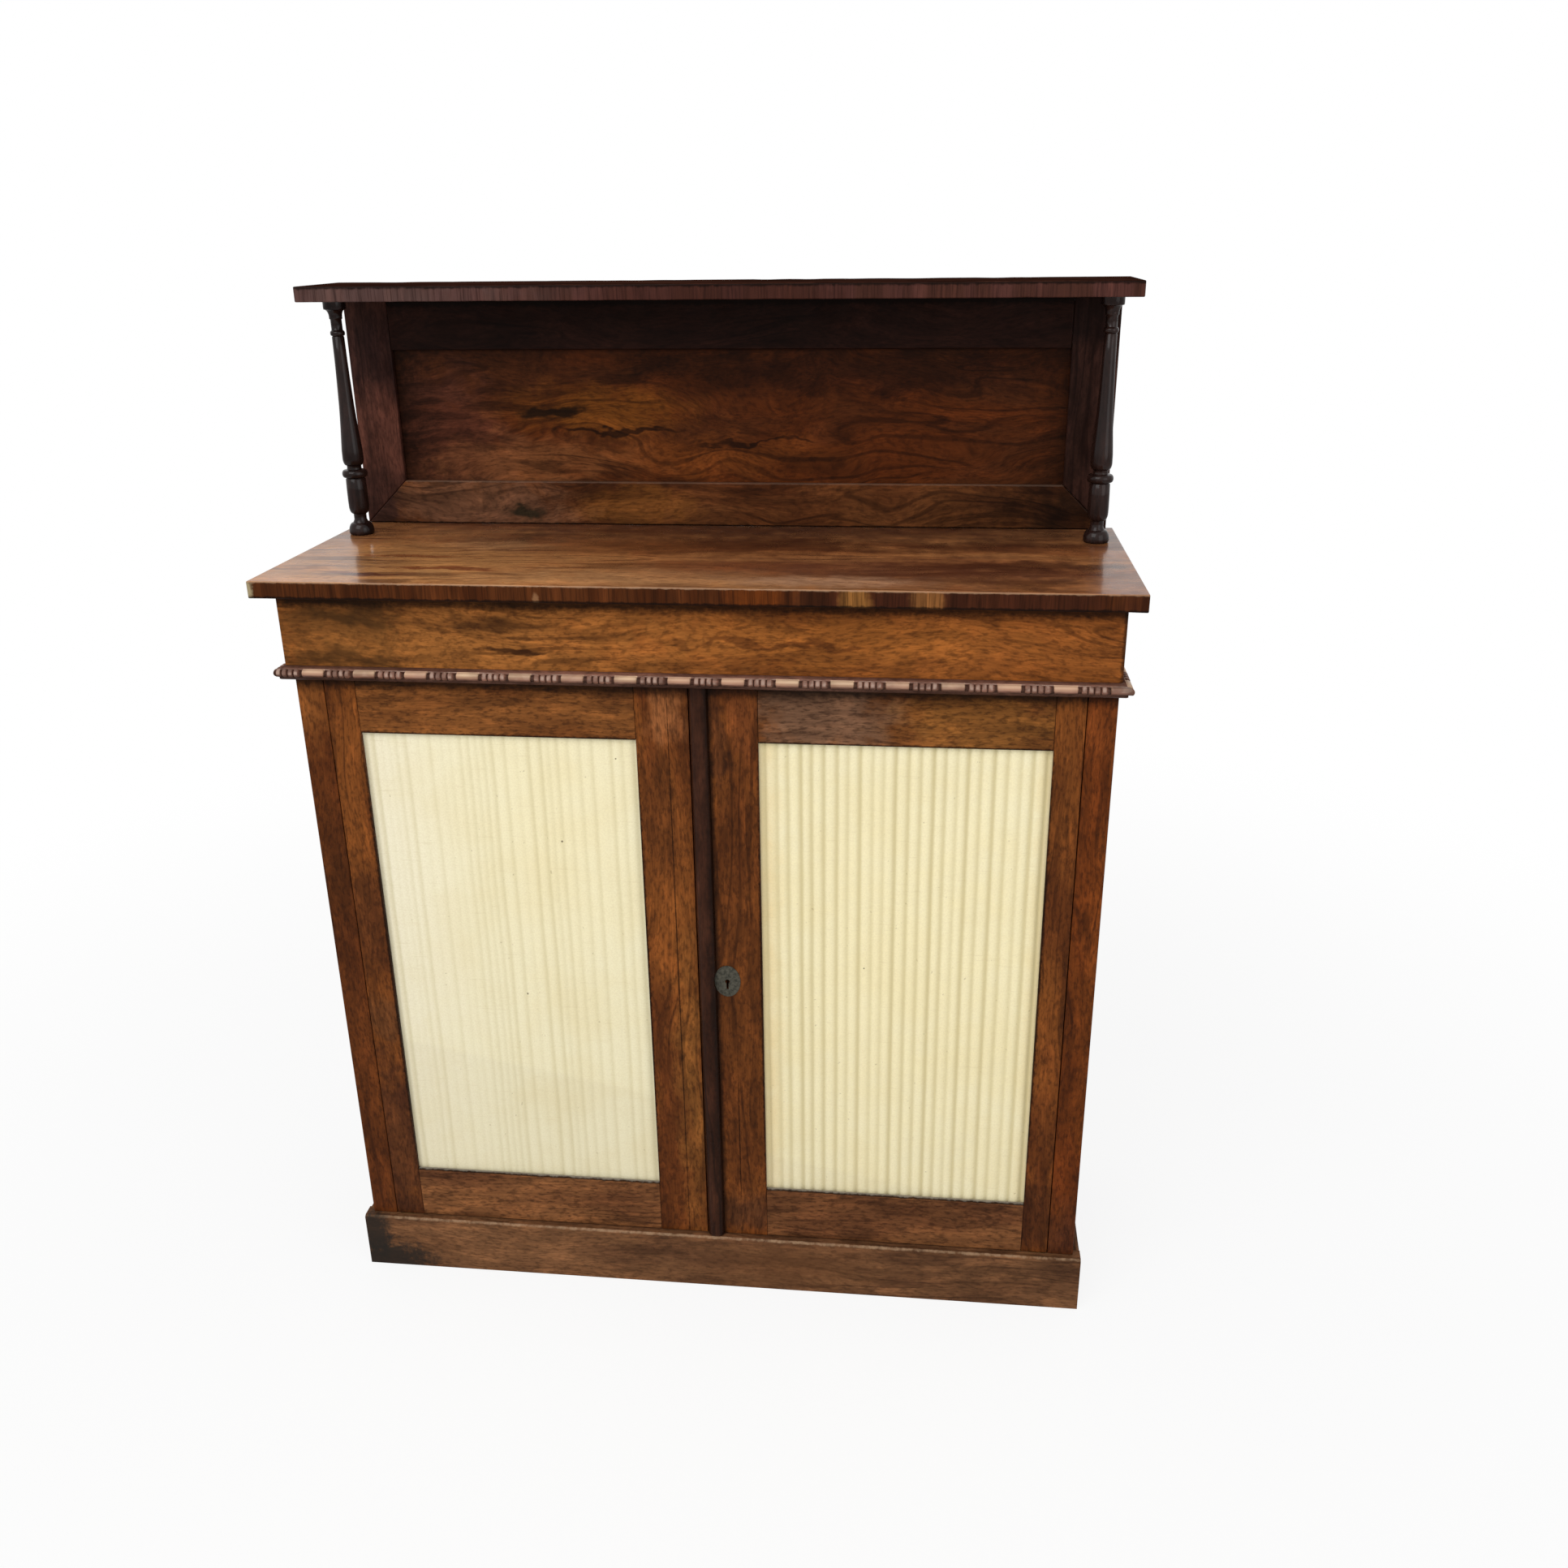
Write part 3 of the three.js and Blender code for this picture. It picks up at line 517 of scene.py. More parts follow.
def edit(piece, action="SELECT"):
    """Opens one piece in edit mode, with all of it selected or, with DESELECT, nothing."""
    pick(piece)
    bpy.ops.object.mode_set(mode="EDIT")
    bpy.ops.mesh.select_mode(type="VERT")
    bpy.ops.mesh.select_all(action=action)


def leave_edit():
    bpy.ops.object.mode_set(mode="OBJECT")


def select_parts(piece, kind, wanted):
    """Selects the edges or the faces (kind EDGE or FACE) for which wanted(part) is true, in edit mode."""
    bpy.ops.mesh.select_mode(type=kind)
    mesh = bmesh.from_edit_mesh(piece.data)
    mesh.normal_update()
    for part in mesh.edges if kind == "EDGE" else mesh.faces:
        part.select_set(wanted(part))
    bmesh.update_edit_mesh(piece.data)


def face_outwards():
    """Turns all faces of the piece in edit mode outwards, and leaves edit mode."""
    bpy.ops.mesh.select_all(action="SELECT")
    bpy.ops.mesh.normals_make_consistent(inside=False)
    leave_edit()


def named(name):
    """The piece that was just added, with its name."""
    piece = bpy.context.object
    piece.name = name
    piece.data.name = name
    return piece


def put_at(piece, place):
    """Moves a piece to a place, and puts its place, turn and size into its mesh."""
    piece.location = place
    pick(piece)
    bpy.ops.object.transform_apply(location=True, rotation=True, scale=True)
    return piece


def squared(name, low, high):
    """A squared block between two corners."""
    bpy.ops.mesh.primitive_cube_add(size=1)
    piece = named(name)
    piece.scale = high - low
    return put_at(piece, (low + high) / 2)


def oval(name, low, high, clearance=0.0, reach=0.0):
    """An upright oval block round a plate, reach deep to either side of it."""
    bpy.ops.mesh.primitive_cylinder_add(vertices=64, radius=0.5, depth=1)
    piece = named(name)
    piece.rotation_euler = Euler((math.pi / 2, 0, 0))
    piece.scale = (high.x - low.x + 2 * clearance, high.z - low.z + 2 * clearance, high.y - low.y + 2 * reach)
    return put_at(piece, (low + high) / 2)


def wire(name, points, closed):
    """A line through points, drawn by extruding a corner from point to point."""
    bpy.ops.mesh.primitive_plane_add(size=1, location=(0, 0, 0))
    piece = named(name)
    edit(piece)
    bpy.ops.mesh.merge(type="CENTER")
    bpy.ops.transform.translate(value=Vector(points[0]))
    for before, after in zip(points, points[1:]):
        step = Vector(after) - Vector(before)
        bpy.ops.mesh.extrude_region_move(TRANSFORM_OT_translate={"value": step})
    if closed:
        bpy.ops.mesh.select_all(action="SELECT")
        bpy.ops.mesh.edge_face_add()
    leave_edit()
    return piece


def turned(name, profile, steps):
    """A turning: a line of (radius, height) spun about the upright axis."""
    piece = wire(name, [(radius, 0, height) for radius, height in profile], closed=False)
    edit(piece)
    bpy.ops.mesh.spin(steps=steps, angle=2 * math.pi, center=(0, 0, 0), axis=(0, 0, 1))
    bpy.ops.mesh.select_all(action="SELECT")
    bpy.ops.mesh.remove_doubles(threshold=FACE_SNAP)
    face_outwards()
    return piece


def drawn(name, section, travel):
    """A closed section drawn out along a straight line."""
    piece = wire(name, section, closed=True)
    edit(piece)
    bpy.ops.mesh.extrude_region_move(TRANSFORM_OT_translate={"value": travel})
    face_outwards()
    return piece


def apply_modifier(piece, kind, **values):
    """Adds one modifier with the values given, and applies it."""
    modifier = piece.modifiers.new(kind.title(), kind)
    for name, value in values.items():
        setattr(modifier, name, value)
    pick(piece)
    bpy.ops.object.modifier_apply(modifier=modifier.name)


def trim(piece, point, normal):
    """Cuts away what lies beyond a plane and closes the cut."""
    edit(piece)
    bpy.ops.mesh.bisect(plane_co=point, plane_no=normal, clear_outer=True, use_fill=True)
    leave_edit()


def combine(piece, other, operation="UNION"):
    """Joins a second solid to a piece or, with DIFFERENCE, takes it out of the piece."""
    apply_modifier(piece, "BOOLEAN", operation=operation, solver="EXACT", object=other)
    bpy.data.objects.remove(other, do_unlink=True)


def smooth(piece, angle):
    pick(piece)
    bpy.ops.object.shade_smooth_by_angle(angle=math.radians(angle))


def round_edges(piece, radius):
    """Rounds the sharp edges, and leaves the flats flat."""
    sharp = math.radians(40)
    apply_modifier(piece, "BEVEL", width=radius, segments=3, limit_method="ANGLE", angle_limit=sharp)
    for face in piece.data.polygons:
        face.use_smooth = max(abs(part) for part in face.normal) < FLAT_NORMAL


def copied(node, radius):
    """A clean copy of a construction piece, merged, without stray triangles and with worn edges."""
    mesh = frame["nodes"][node].data.copy()
    mesh.materials.clear()
    piece = bpy.data.objects.new(f"{node}_board", mesh)
    bpy.context.scene.collection.objects.link(piece)
    edit(piece)
    bpy.ops.mesh.customdata_custom_splitnormals_clear()
    bpy.ops.mesh.remove_doubles(threshold=FACE_SNAP)
    bpy.ops.mesh.dissolve_limited(angle_limit=math.radians(1))
    leave_edit()
    round_edges(piece, radius)
    return piece


def finished(piece, node, slot, *materials):
    """Gives a piece its finish, and puts it in the place of a construction piece."""
    for material in materials:
        piece.data.materials.append(material)
    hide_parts(node)
    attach(piece, body_of(frame["nodes"][node])[0])


def board(node, look, radius=None, slot="rosewood", **changes):
    """A board of the chiffonier: the construction piece with worn edges and its own rosewood."""
    piece = copied(node, radius or settings().timber.board_arris)
    finished(piece, node, slot, rosewood(f"{node} rosewood", look._replace(**changes)))


def paint(node, material):
    """Gives a construction piece that stays as it is a better finish."""
    mesh = frame["nodes"][node].data
    mesh.materials.clear()
    mesh.materials.append(material)


# Colours of the rosewood, board by board

GOLD = Timber("X", 0x945626, 0x7C461D, 0x2A1409, 3.1, streak=0.5, figure=0.02, pores=0.5)
RUST_X = Timber("X", 0x8A552A, 0x6B3E1D, 0x20100A, 5.2, streak=0.4, pores=0.55)
RUST_Z = Timber("Z", 0x824A20, 0x623417, 0x1F100A, 7.7, streak=0.45, pores=0.5)
DUSK_X = Timber("X", 0x683A1C, 0x4F2A15, 0x140A07, 11.4, streak=0.5, figure=0.03, pores=0.4)
DUSK_Z = Timber("Z", 0x4A2E26, 0x3A231D, 0x140A08, 12.9, streak=0.5, pores=0.4)

TOP = Timber("X", 0xC0804C, 0x965932, 0x421F13, 21.0, 0.55, 0.02, 0.3, 0.9, coat=0.4, size=1.7, glow=1.35)
TOP_EDGE = Timber("Z", 0x522B13, 0x42200C, 0x1C0D06, 22.4, streak=0.35)
SHELF_EDGE = Timber("Z", 0x50302A, 0x442820, 0x1D0F0C, 23.6, streak=0.25)

# The near-black of the painted shade lines, also used for the fine cracks in the veneer.
SHADE = 0x100906


def line_across(height, width, colour=SHADE, strength=0.85, blur=0.25):
    """A dark or pale line along the whole length of a board, at one height: painted shade or a painted
    highlight.
    """
    return Patch((0, 0, height), (ENDLESS, ENDLESS, width), colour, strength, blur)


def line_up(place, width, colour=SHADE, strength=0.85, blur=0.25):
    """A dark or pale line up the whole height of a board, at one place across: a stripe of tone, a join, or
    painted shade.
    """
    return Patch((place, 0, 0), (width, ENDLESS, ENDLESS), colour, strength, blur)


def clouds(depth, *rows, reach=0.05):
    """Clouds on a front, each as x, z, half width, half height, colour and, if given, strength and blur."""
    return tuple(Patch((x, depth, z), (width, reach, height), *look) for x, z, width, height, *look in rows)


# Painted shadows: OVERHANG_SHADE is how far below an overhang its shadow line is painted; the line below is
# the moulding's shadow painted on the door tops and stiles.
OVERHANG_SHADE = 0.009
MOULDING_SHADOW = line_across(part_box("bead_moulding_front")[0].z - OVERHANG_SHADE, 0.013, blur=0.6)


class Tops(bpy.types.Operator):
    """Models the worktop and the raised shelf, each banded with upright veneer round its edges"""

    bl_idname = "chiffonier.tops"
    bl_label = "Worktop and shelf"

    cuts = 90
    wear_grain = (31, 9, 60)

    def execute(self, context):
        self.top("worktop", *self.worktop_looks())
        tones = (line_up(-0.42, 0.3, 0x5A4845, 0.6, 0.6), line_up(0.02, 0.26, 0x3A1E17, 0.62))
        shade = line_across(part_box("upper_shelf")[1].z, 0.006)
        shelf = DUSK_X._replace(seed=31.0, ground=0x40251C, warm=0x321B14, rough=1.7, gloss=0.0, size=1.5)
        self.top("upper_shelf", shelf, SHELF_EDGE._replace(patches=tones, marks=(shade,)))
        return {"FINISHED"}

    def worktop_looks(self):
        """The polished face, golden at the left and purple at the right, with painted shade and reflection
        under the raised shelf and a painted highlight at the front, and the banding round it.
        """
        low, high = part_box("worktop")
        # A pale line along the front arris: wear, and a painted highlight.
        rubbed_and_lit = Patch((0, low.y, high.z), (ENDLESS, 0.003, 0.003), 0xB28C6C, 0.5)
        rows = (
            (-0.36, -0.06, 0.4, 0.2, 0xD0985C, 0.6, 0.5),
            (0.0, -0.14, 0.45, 0.07, 0xD29C68, 0.7, 0.5),
            (-0.3, -0.1, 0.12, 0.014, 0x6A2A14, 0.8),
            (-0.38, -0.13, 0.09, 0.012, 0x742E18, 0.75),
            (-0.36, -0.04, 0.14, 0.01, 0x7E3C1C, 0.7),
            (0.26, -0.09, 0.46, 0.12, 0x4E2A22, 0.8, 0.5),
            (0.0, 0.04, 0.4, 0.09, 0x5C2E14, 0.72, 0.5),
            (0.38, -0.05, 0.22, 0.04, 0x34180F, 0.7),
            # Painted shade and reflection at the back, under the raised shelf.
            (0.1, 0.14, 0.9, 0.14, 0x33201C, 0.92, 0.6),
            (0.06, 0.05, 0.2, 0.07, 0x2A160C, 0.6, 0.5),
            (0.34, 0.05, 0.14, 0.06, 0x3A2014, 0.6, 0.5),
            (-0.28, 0.03, 0.1, 0.05, 0xCC9868, 0.45, 0.5),
            # A painted highlight on the polish at the front.
            (0.15, -0.14, 0.15, 0.035, 0xE2AC84, 0.62, 0.5),
            (0.37, -0.145, 0.08, 0.04, 0x36190F, 0.6, 0.5),
        )
        face = tuple(Patch((x, y, 0), (wide, deep, ENDLESS), *look) for x, y, wide, deep, *look in rows)
        stripes = (
            line_up(0.32, 0.3, 0x3A1D13, 0.7),
            line_up(0.14, 0.03, 0x2E170C, 0.65),
            line_up(0.19, 0.026, 0x90602F, 0.85),
            line_up(0.265, 0.028, 0x8A5A30, 0.85),
            line_up(0.08, 0.05, 0x6A3410, 0.75),
        )
        edge = (
            Patch((-0.166, low.y, 0.979), (0.006, 0.02, 0.012), 0x8C6444, 0.7),
            Patch((low.x, low.y, 0.985), (0.01, 0.01, 0.03), 0xA89A78, 0.8),
            # Painted shade along the banding's lower edge.
            line_across(low.z, 0.005),
            rubbed_and_lit,
        )
        return TOP._replace(patches=face, marks=(rubbed_and_lit,)), TOP_EDGE._replace(patches=stripes, marks=edge)

    def top(self, node, face_look, edge_look):
        low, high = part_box(node)
        piece = squared(f"{node}_board", low, high)
        edit(piece, "DESELECT")
        select_parts(piece, "EDGE", self.lengthwise)
        bpy.ops.mesh.subdivide(number_cuts=self.cuts)
        leave_edit()
        round_edges(piece, settings().timber.top_arris)
        self.wear(piece, (low + high) / 2)
        for face in piece.data.polygons:
            face.material_index = int(-FLAT_TURN < face.normal.z < BANDED_TURN)
        face_wood = rosewood(f"{node} rosewood", face_look)
        finished(piece, node, "polished_rosewood", face_wood, cross_banding(f"{node} banding", edge_look))

    def lengthwise(self, edge):
        run = edge.verts[1].co - edge.verts[0].co
        return abs(run.x) > abs(run.y) + abs(run.z)

    def wear(self, piece, middle):
        """Rubs the edges down unevenly along their length."""
        for vertex in piece.data.vertices:
            rub = noise.noise(Vector([place * turns for place, turns in zip(vertex.co, self.wear_grain)]))
            depth = max(0.0, rub) * WORN_ARRIS
            for axis in (1, 2):
                vertex.co[axis] += depth if vertex.co[axis] < middle[axis] else -depth


class BackFrame(bpy.types.Operator):
    """Models the framed panel behind the raised shelf"""

    bl_idname = "chiffonier.back_frame"
    bl_label = "Framed back"

    def execute(self, context):
        low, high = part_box("back_bottom_rail")
        # The dark clouds high on both stiles and down the right stile are painted shade; the red cloud is the
        # wood's own tone.
        tones = clouds(
            low.y,
            (-0.46, 1.11, 0.07, 0.1, 0x7A4A3C, 0.5),
            (0.44, 1.08, 0.045, 0.2, 0x1C110C, 0.75, 0.6),
            (-0.46, 1.22, 0.07, 0.08, 0x241718, 0.6, 0.5),
            (0.46, 1.26, 0.07, 0.07, 0x0E0909, 0.75, 0.5),
        )
        for seed, side in enumerate(SIDES):
            board(f"back_stile_{side}", DUSK_Z, FRAME_ARRIS, seed=40.0 + 3 * seed, patches=tones)
        # Painted shadow of the raised shelf on the top rail, whose darker copy of the back's rosewood is
        # painted shade too.
        shelf_shadow = line_across(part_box("upper_shelf")[0].z - OVERHANG_SHADE / 2, 0.012)
        dark = DUSK_X._replace(seed=46.0, ground=0x2C1812, warm=0x22120D, dark=0x0C0605)
        board("back_top_rail", dark, FRAME_ARRIS, marks=(shelf_shadow,))
        tones = clouds(
            low.y,
            # The greyish cloud at the left is a painted sheen on the polish.
            (-0.35, 1.02, 0.25, 0.06, 0x7C5640),
            (-0.12, 1.02, 0.14, 0.045, 0x865222, 0.5),
            (-0.48, 1.02, 0.07, 0.06, 0x3A2622, 0.85),
            (-0.27, 1.012, 0.05, 0.016, 0x1E1E14, 0.9),
            (0.45, 1.02, 0.18, 0.1, 0x1A100B, 0.93, 0.6),
        )
        # A painted highlight on the top arris, and painted shade at the foot where the rail meets the
        # worktop.
        arris_highlight_and_foot_shade = (line_across(high.z, 0.0025, 0x7A6456, 0.3), line_across(low.z, 0.003))
        look = DUSK_X._replace(seed=49.0, ground=0x6C4022, warm=0x532D17)
        board("back_bottom_rail", look, FRAME_ARRIS, patches=tones, marks=arris_highlight_and_foot_shade)
        self.panel()
        return {"FINISHED"}

    def panel(self):
        """Gold in the panel's middle, a dark knot with a line running from it, and painted shade round the
        edge and under the shelf.
        """
        low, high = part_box("back_panel")
        tones = clouds(
            low.y,
            (-0.38, 1.1, 0.16, 0.16, 0x5E362A),
            (-0.17, 1.142, 0.2, 0.045, 0x844D1B, 0.66, 0.4),
            (-0.04, 1.085, 0.26, 0.04, 0x80451C, 0.6, 0.4),
            (-0.26, 1.075, 0.2, 0.045, 0x8C5834, 0.6, 0.5),
            # Painted shade under the raised shelf, along the panel's top.
            (0.2, 1.19, 0.4, 0.05, 0x2A140C),
            (0.0, 1.19, 0.16, 0.045, 0x1C0E08, 0.5, 0.5),
            (-0.235, 1.14, 0.08, 0.016, 0x140F08, 0.9),
            (-0.15, 1.117, 0.17, 0.006, 0x1C0E08, 0.85),
            (0.03, 1.104, 0.12, 0.005, 0x1C0E08, 0.8),
        )
        # Painted shade cast by the frame on the edges of the sunk panel.
        marks = (
            line_across(high.z, 0.05, SHADE, 0.6, 0.7),
            line_up(high.x, 0.06, SHADE, 0.6, 0.7),
            line_up(low.x, 0.065, blur=0.7),
        )
        look = DUSK_X._replace(seed=52.0, ground=0x592B11, figure=0.045, streak=0.5, size=1.5)
        board("back_panel", look, patches=tones, marks=marks)


class Columns(bpy.types.Operator):
    """Turns the two columns that carry the raised shelf"""

    bl_idname = "chiffonier.columns"
    bl_label = "Turned columns"

    def execute(self, context):
        look = Timber("Z", 0x2C1C18, 0x221411, 0x0E0706, 61.0, streak=0.6, pores=0.4, rough=0.75, coat=0.3)
        for side in SIDES:
            node = f"column_{side}"
            low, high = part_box(node)
            foot = (high.x - low.x) / 2
            tall = high.z - low.z
            profile = [(radius * foot, rise * tall) for radius, rise in column_profile()]
            piece = turned(f"{node}_turning", profile, settings().turning.steps)
            put_at(piece, ((low.x + high.x) / 2, (low.y + high.y) / 2, low.z))
            smooth(piece, 50)
            wood = rosewood(f"{node} rosewood", look._replace(seed=61.0 + low.x))
            finished(piece, node, "turned_rosewood", wood)
        return {"FINISHED"}


def quarter(start, end, hollow=False, steps=6):
    """Points of a quarter round, or of a hollow, from start to end, both (radius, height)."""
    points = []
    for step in range(steps + 1):
        turn = math.pi / 2 * step / steps
        shares = (math.sin(turn), 1 - math.cos(turn))
        if hollow:
            shares = shares[::-1]
        points.append(tuple(a + (b - a) * share for a, b, share in zip(start, end, shares)))
    return points


def column_profile():
    """The column's outline from its foot up: radii and heights as shares of the foot's radius and height."""
    foot = [(0, 0), (0.9, 0), *quarter((0.9, 0), (1, 0.012)), *quarter((1, 0.014), (0.62, 0.052), True)]
    foot_neck = [(0.5, 0.066), (0.5, 0.088)]
    vase = [*quarter((0.52, 0.092), (0.8, 0.124)), (0.81, 0.15), (0.8, 0.2), (0.78, 0.246), (0.7, 0.253)]
    ring = [*quarter((0.86, 0.255), (1, 0.269)), *quarter((1, 0.271), (0.8, 0.287), True)]
    ring_neck = [(0.58, 0.29), (0.56, 0.297), (0.57, 0.305)]
    shaft = [*quarter((0.6, 0.307), (0.83, 0.336)), (0.82, 0.37), (0.77, 0.41), (0.7, 0.46), (0.64, 0.51)]
    shaft += [(0.59, 0.56), (0.555, 0.62), (0.52, 0.68), (0.49, 0.75), (0.47, 0.852)]
    collar = [(0.42, 0.856), *quarter((0.48, 0.858), (0.56, 0.867))]
    collar += quarter((0.56, 0.868), (0.47, 0.878), True)
    necking = [(0.43, 0.882), (0.43, 0.924), (0.5, 0.928), (0.5, 0.934)]
    capital = [*quarter((0.5, 0.936), (0.84, 0.966), True), (0.86, 0.972), (0.86, 1), (0, 1)]
    return foot + foot_neck + vase + ring + ring_neck + shaft + collar + necking + capital


class Carcase(bpy.types.Operator):
    """Models the frieze, the stiles, the sides, the plinth and the boards inside"""

    bl_idname = "chiffonier.carcase"
    bl_label = "Carcase"

    def execute(self, context):
        self.frieze()
        plinth = self.plinth_look()
        board("plinth_front", plinth, PLINTH_ARRIS)
        bands = (
            Patch((-0.46, DOOR_FACE, 0.45), (0.1, ENDLESS, ENDLESS), 0x562B12, 0.75),
            Patch((0.47, DOOR_FACE, 0.5), (0.1, ENDLESS, ENDLESS), 0x6A300E, 0.55),
        )
        # The pale clouds at 0.84, high on both stiles, are painted light on their upper ends.
        left_tones = clouds(
            DOOR_FACE,
            (-0.47, 0.6, 0.06, 0.14, 0x3C200E, 0.6, 0.5),
            (-0.47, 0.84, 0.06, 0.08, 0x9C5E2C, 0.6, 0.5),
        )
        right_tones = clouds(
            DOOR_FACE,
            (0.47, 0.11, 0.06, 0.08, 0x42261A, 0.75, 0.5),
            (0.47, 0.32, 0.06, 0.07, 0x522A10, 0.5, 0.5),
            (0.47, 0.84, 0.06, 0.08, 0x9A5224, 0.45, 0.5),
        )
        for seed, (side, band, tones) in enumerate(zip(SIDES, bands, (left_tones, right_tones))):
            marks = (MOULDING_SHADOW,)
            board(f"front_stile_{side}", RUST_Z, seed=70.0 + 5 * seed, patches=(band, *tones), marks=marks)
            board(f"side_panel_{side}", RUST_Z, seed=80.0 + 5 * seed)
            board(f"plinth_{side}", plinth, PLINTH_ARRIS, grain="Y", seed=90.0 + 5 * seed)
        self.inside()
        return {"FINISHED"}

    def frieze(self):
        """Gold, clouded dark at the left, where the veneer is joined, and shaded under the worktop."""
        low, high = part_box("frieze_rail")
        gold = Patch((-0.27, low.y, 0.91), (0.4, ENDLESS, ENDLESS), 0xB0743A, 0.5, 0.5)
        middle, *dark = clouds(
            low.y,
            (0.13, 0.93, 0.4, 0.05, 0xA8682C, 0.3),
            (-0.4, 0.948, 0.13, 0.02, 0x2A1B0E, 0.8, 0.4),
            (-0.25, 0.938, 0.1, 0.014, 0x2E1B0E, 0.75, 0.4),
            (-0.2, 0.912, 0.08, 0.007, 0x28150B, 0.8),
            (-0.4, 0.898, 0.16, 0.012, 0x38200F, 0.7, 0.4),
            (0.1, 0.925, 0.2, 0.006, 0x4A2410),
        )
        joined = line_up(-0.41, 0.12, 0x4E3519, 0.35, 0.1)
        # Painted shadow of the worktop's overhang.
        worktop_shadow = line_across(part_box("worktop")[0].z - OVERHANG_SHADE, 0.012, blur=0.5)
        end = Patch((high.x, low.y, 0), (0.006, 0.004, ENDLESS), SHADE, 0.7)
        look = GOLD._replace(patches=(middle, gold, *dark), marks=(joined, worktop_shadow, end))
        board("frieze_rail", look, slot="golden_rosewood")

    def plinth_look(self):
        """Brown, with a pale top edge, worn and with a painted highlight, and a dark stain at the left end.
        """
        low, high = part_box("plinth_front")
        marks = (
            Patch((0.1, low.y, 0.04), (0.17, 0.05, 0.06), 0x5C3A22, 0.5, 0.5),
            Patch((0, low.y, high.z), (2, 0.005, 0.004), 0xA98A6C, 0.7),
            Patch((low.x + 0.01, low.y, 0.05), (0.045, 0.05, 0.07), 0x2A2521, 0.92),
            Patch((low.x + 0.03, low.y, 0.01), (0.11, 0.05, 0.05), 0x2A2521, 0.9),
        )
        return Timber("X", 0x80583A, 0x63422C, 0x2B1A11, 93.0, 0.45, pores=0.45, rough=1.25, marks=marks)

    def inside(self):
        upright = plain_wood("carcase wood upright", "Z", 0xA27C4E, 0x7F5B34, 2.0)
        level = plain_wood("carcase wood level", "X", 0xA88253, 0x86623A, 4.0)
        deep = plain_wood("carcase wood front to back", "Y", 0xA27C4E, 0x7F5B34, 6.0)
        woods = {"back_board": upright}
        woods |= dict.fromkeys(("bottom_board", "rear_rail", "inner_shelf", "door_stop"), level)
        woods |= dict.fromkeys(("shelf_bearer_left", "shelf_bearer_right"), deep)
        for node, wood in woods.items():
            finished(copied(node, settings().timber.board_arris), node, "carcase_wood", wood)


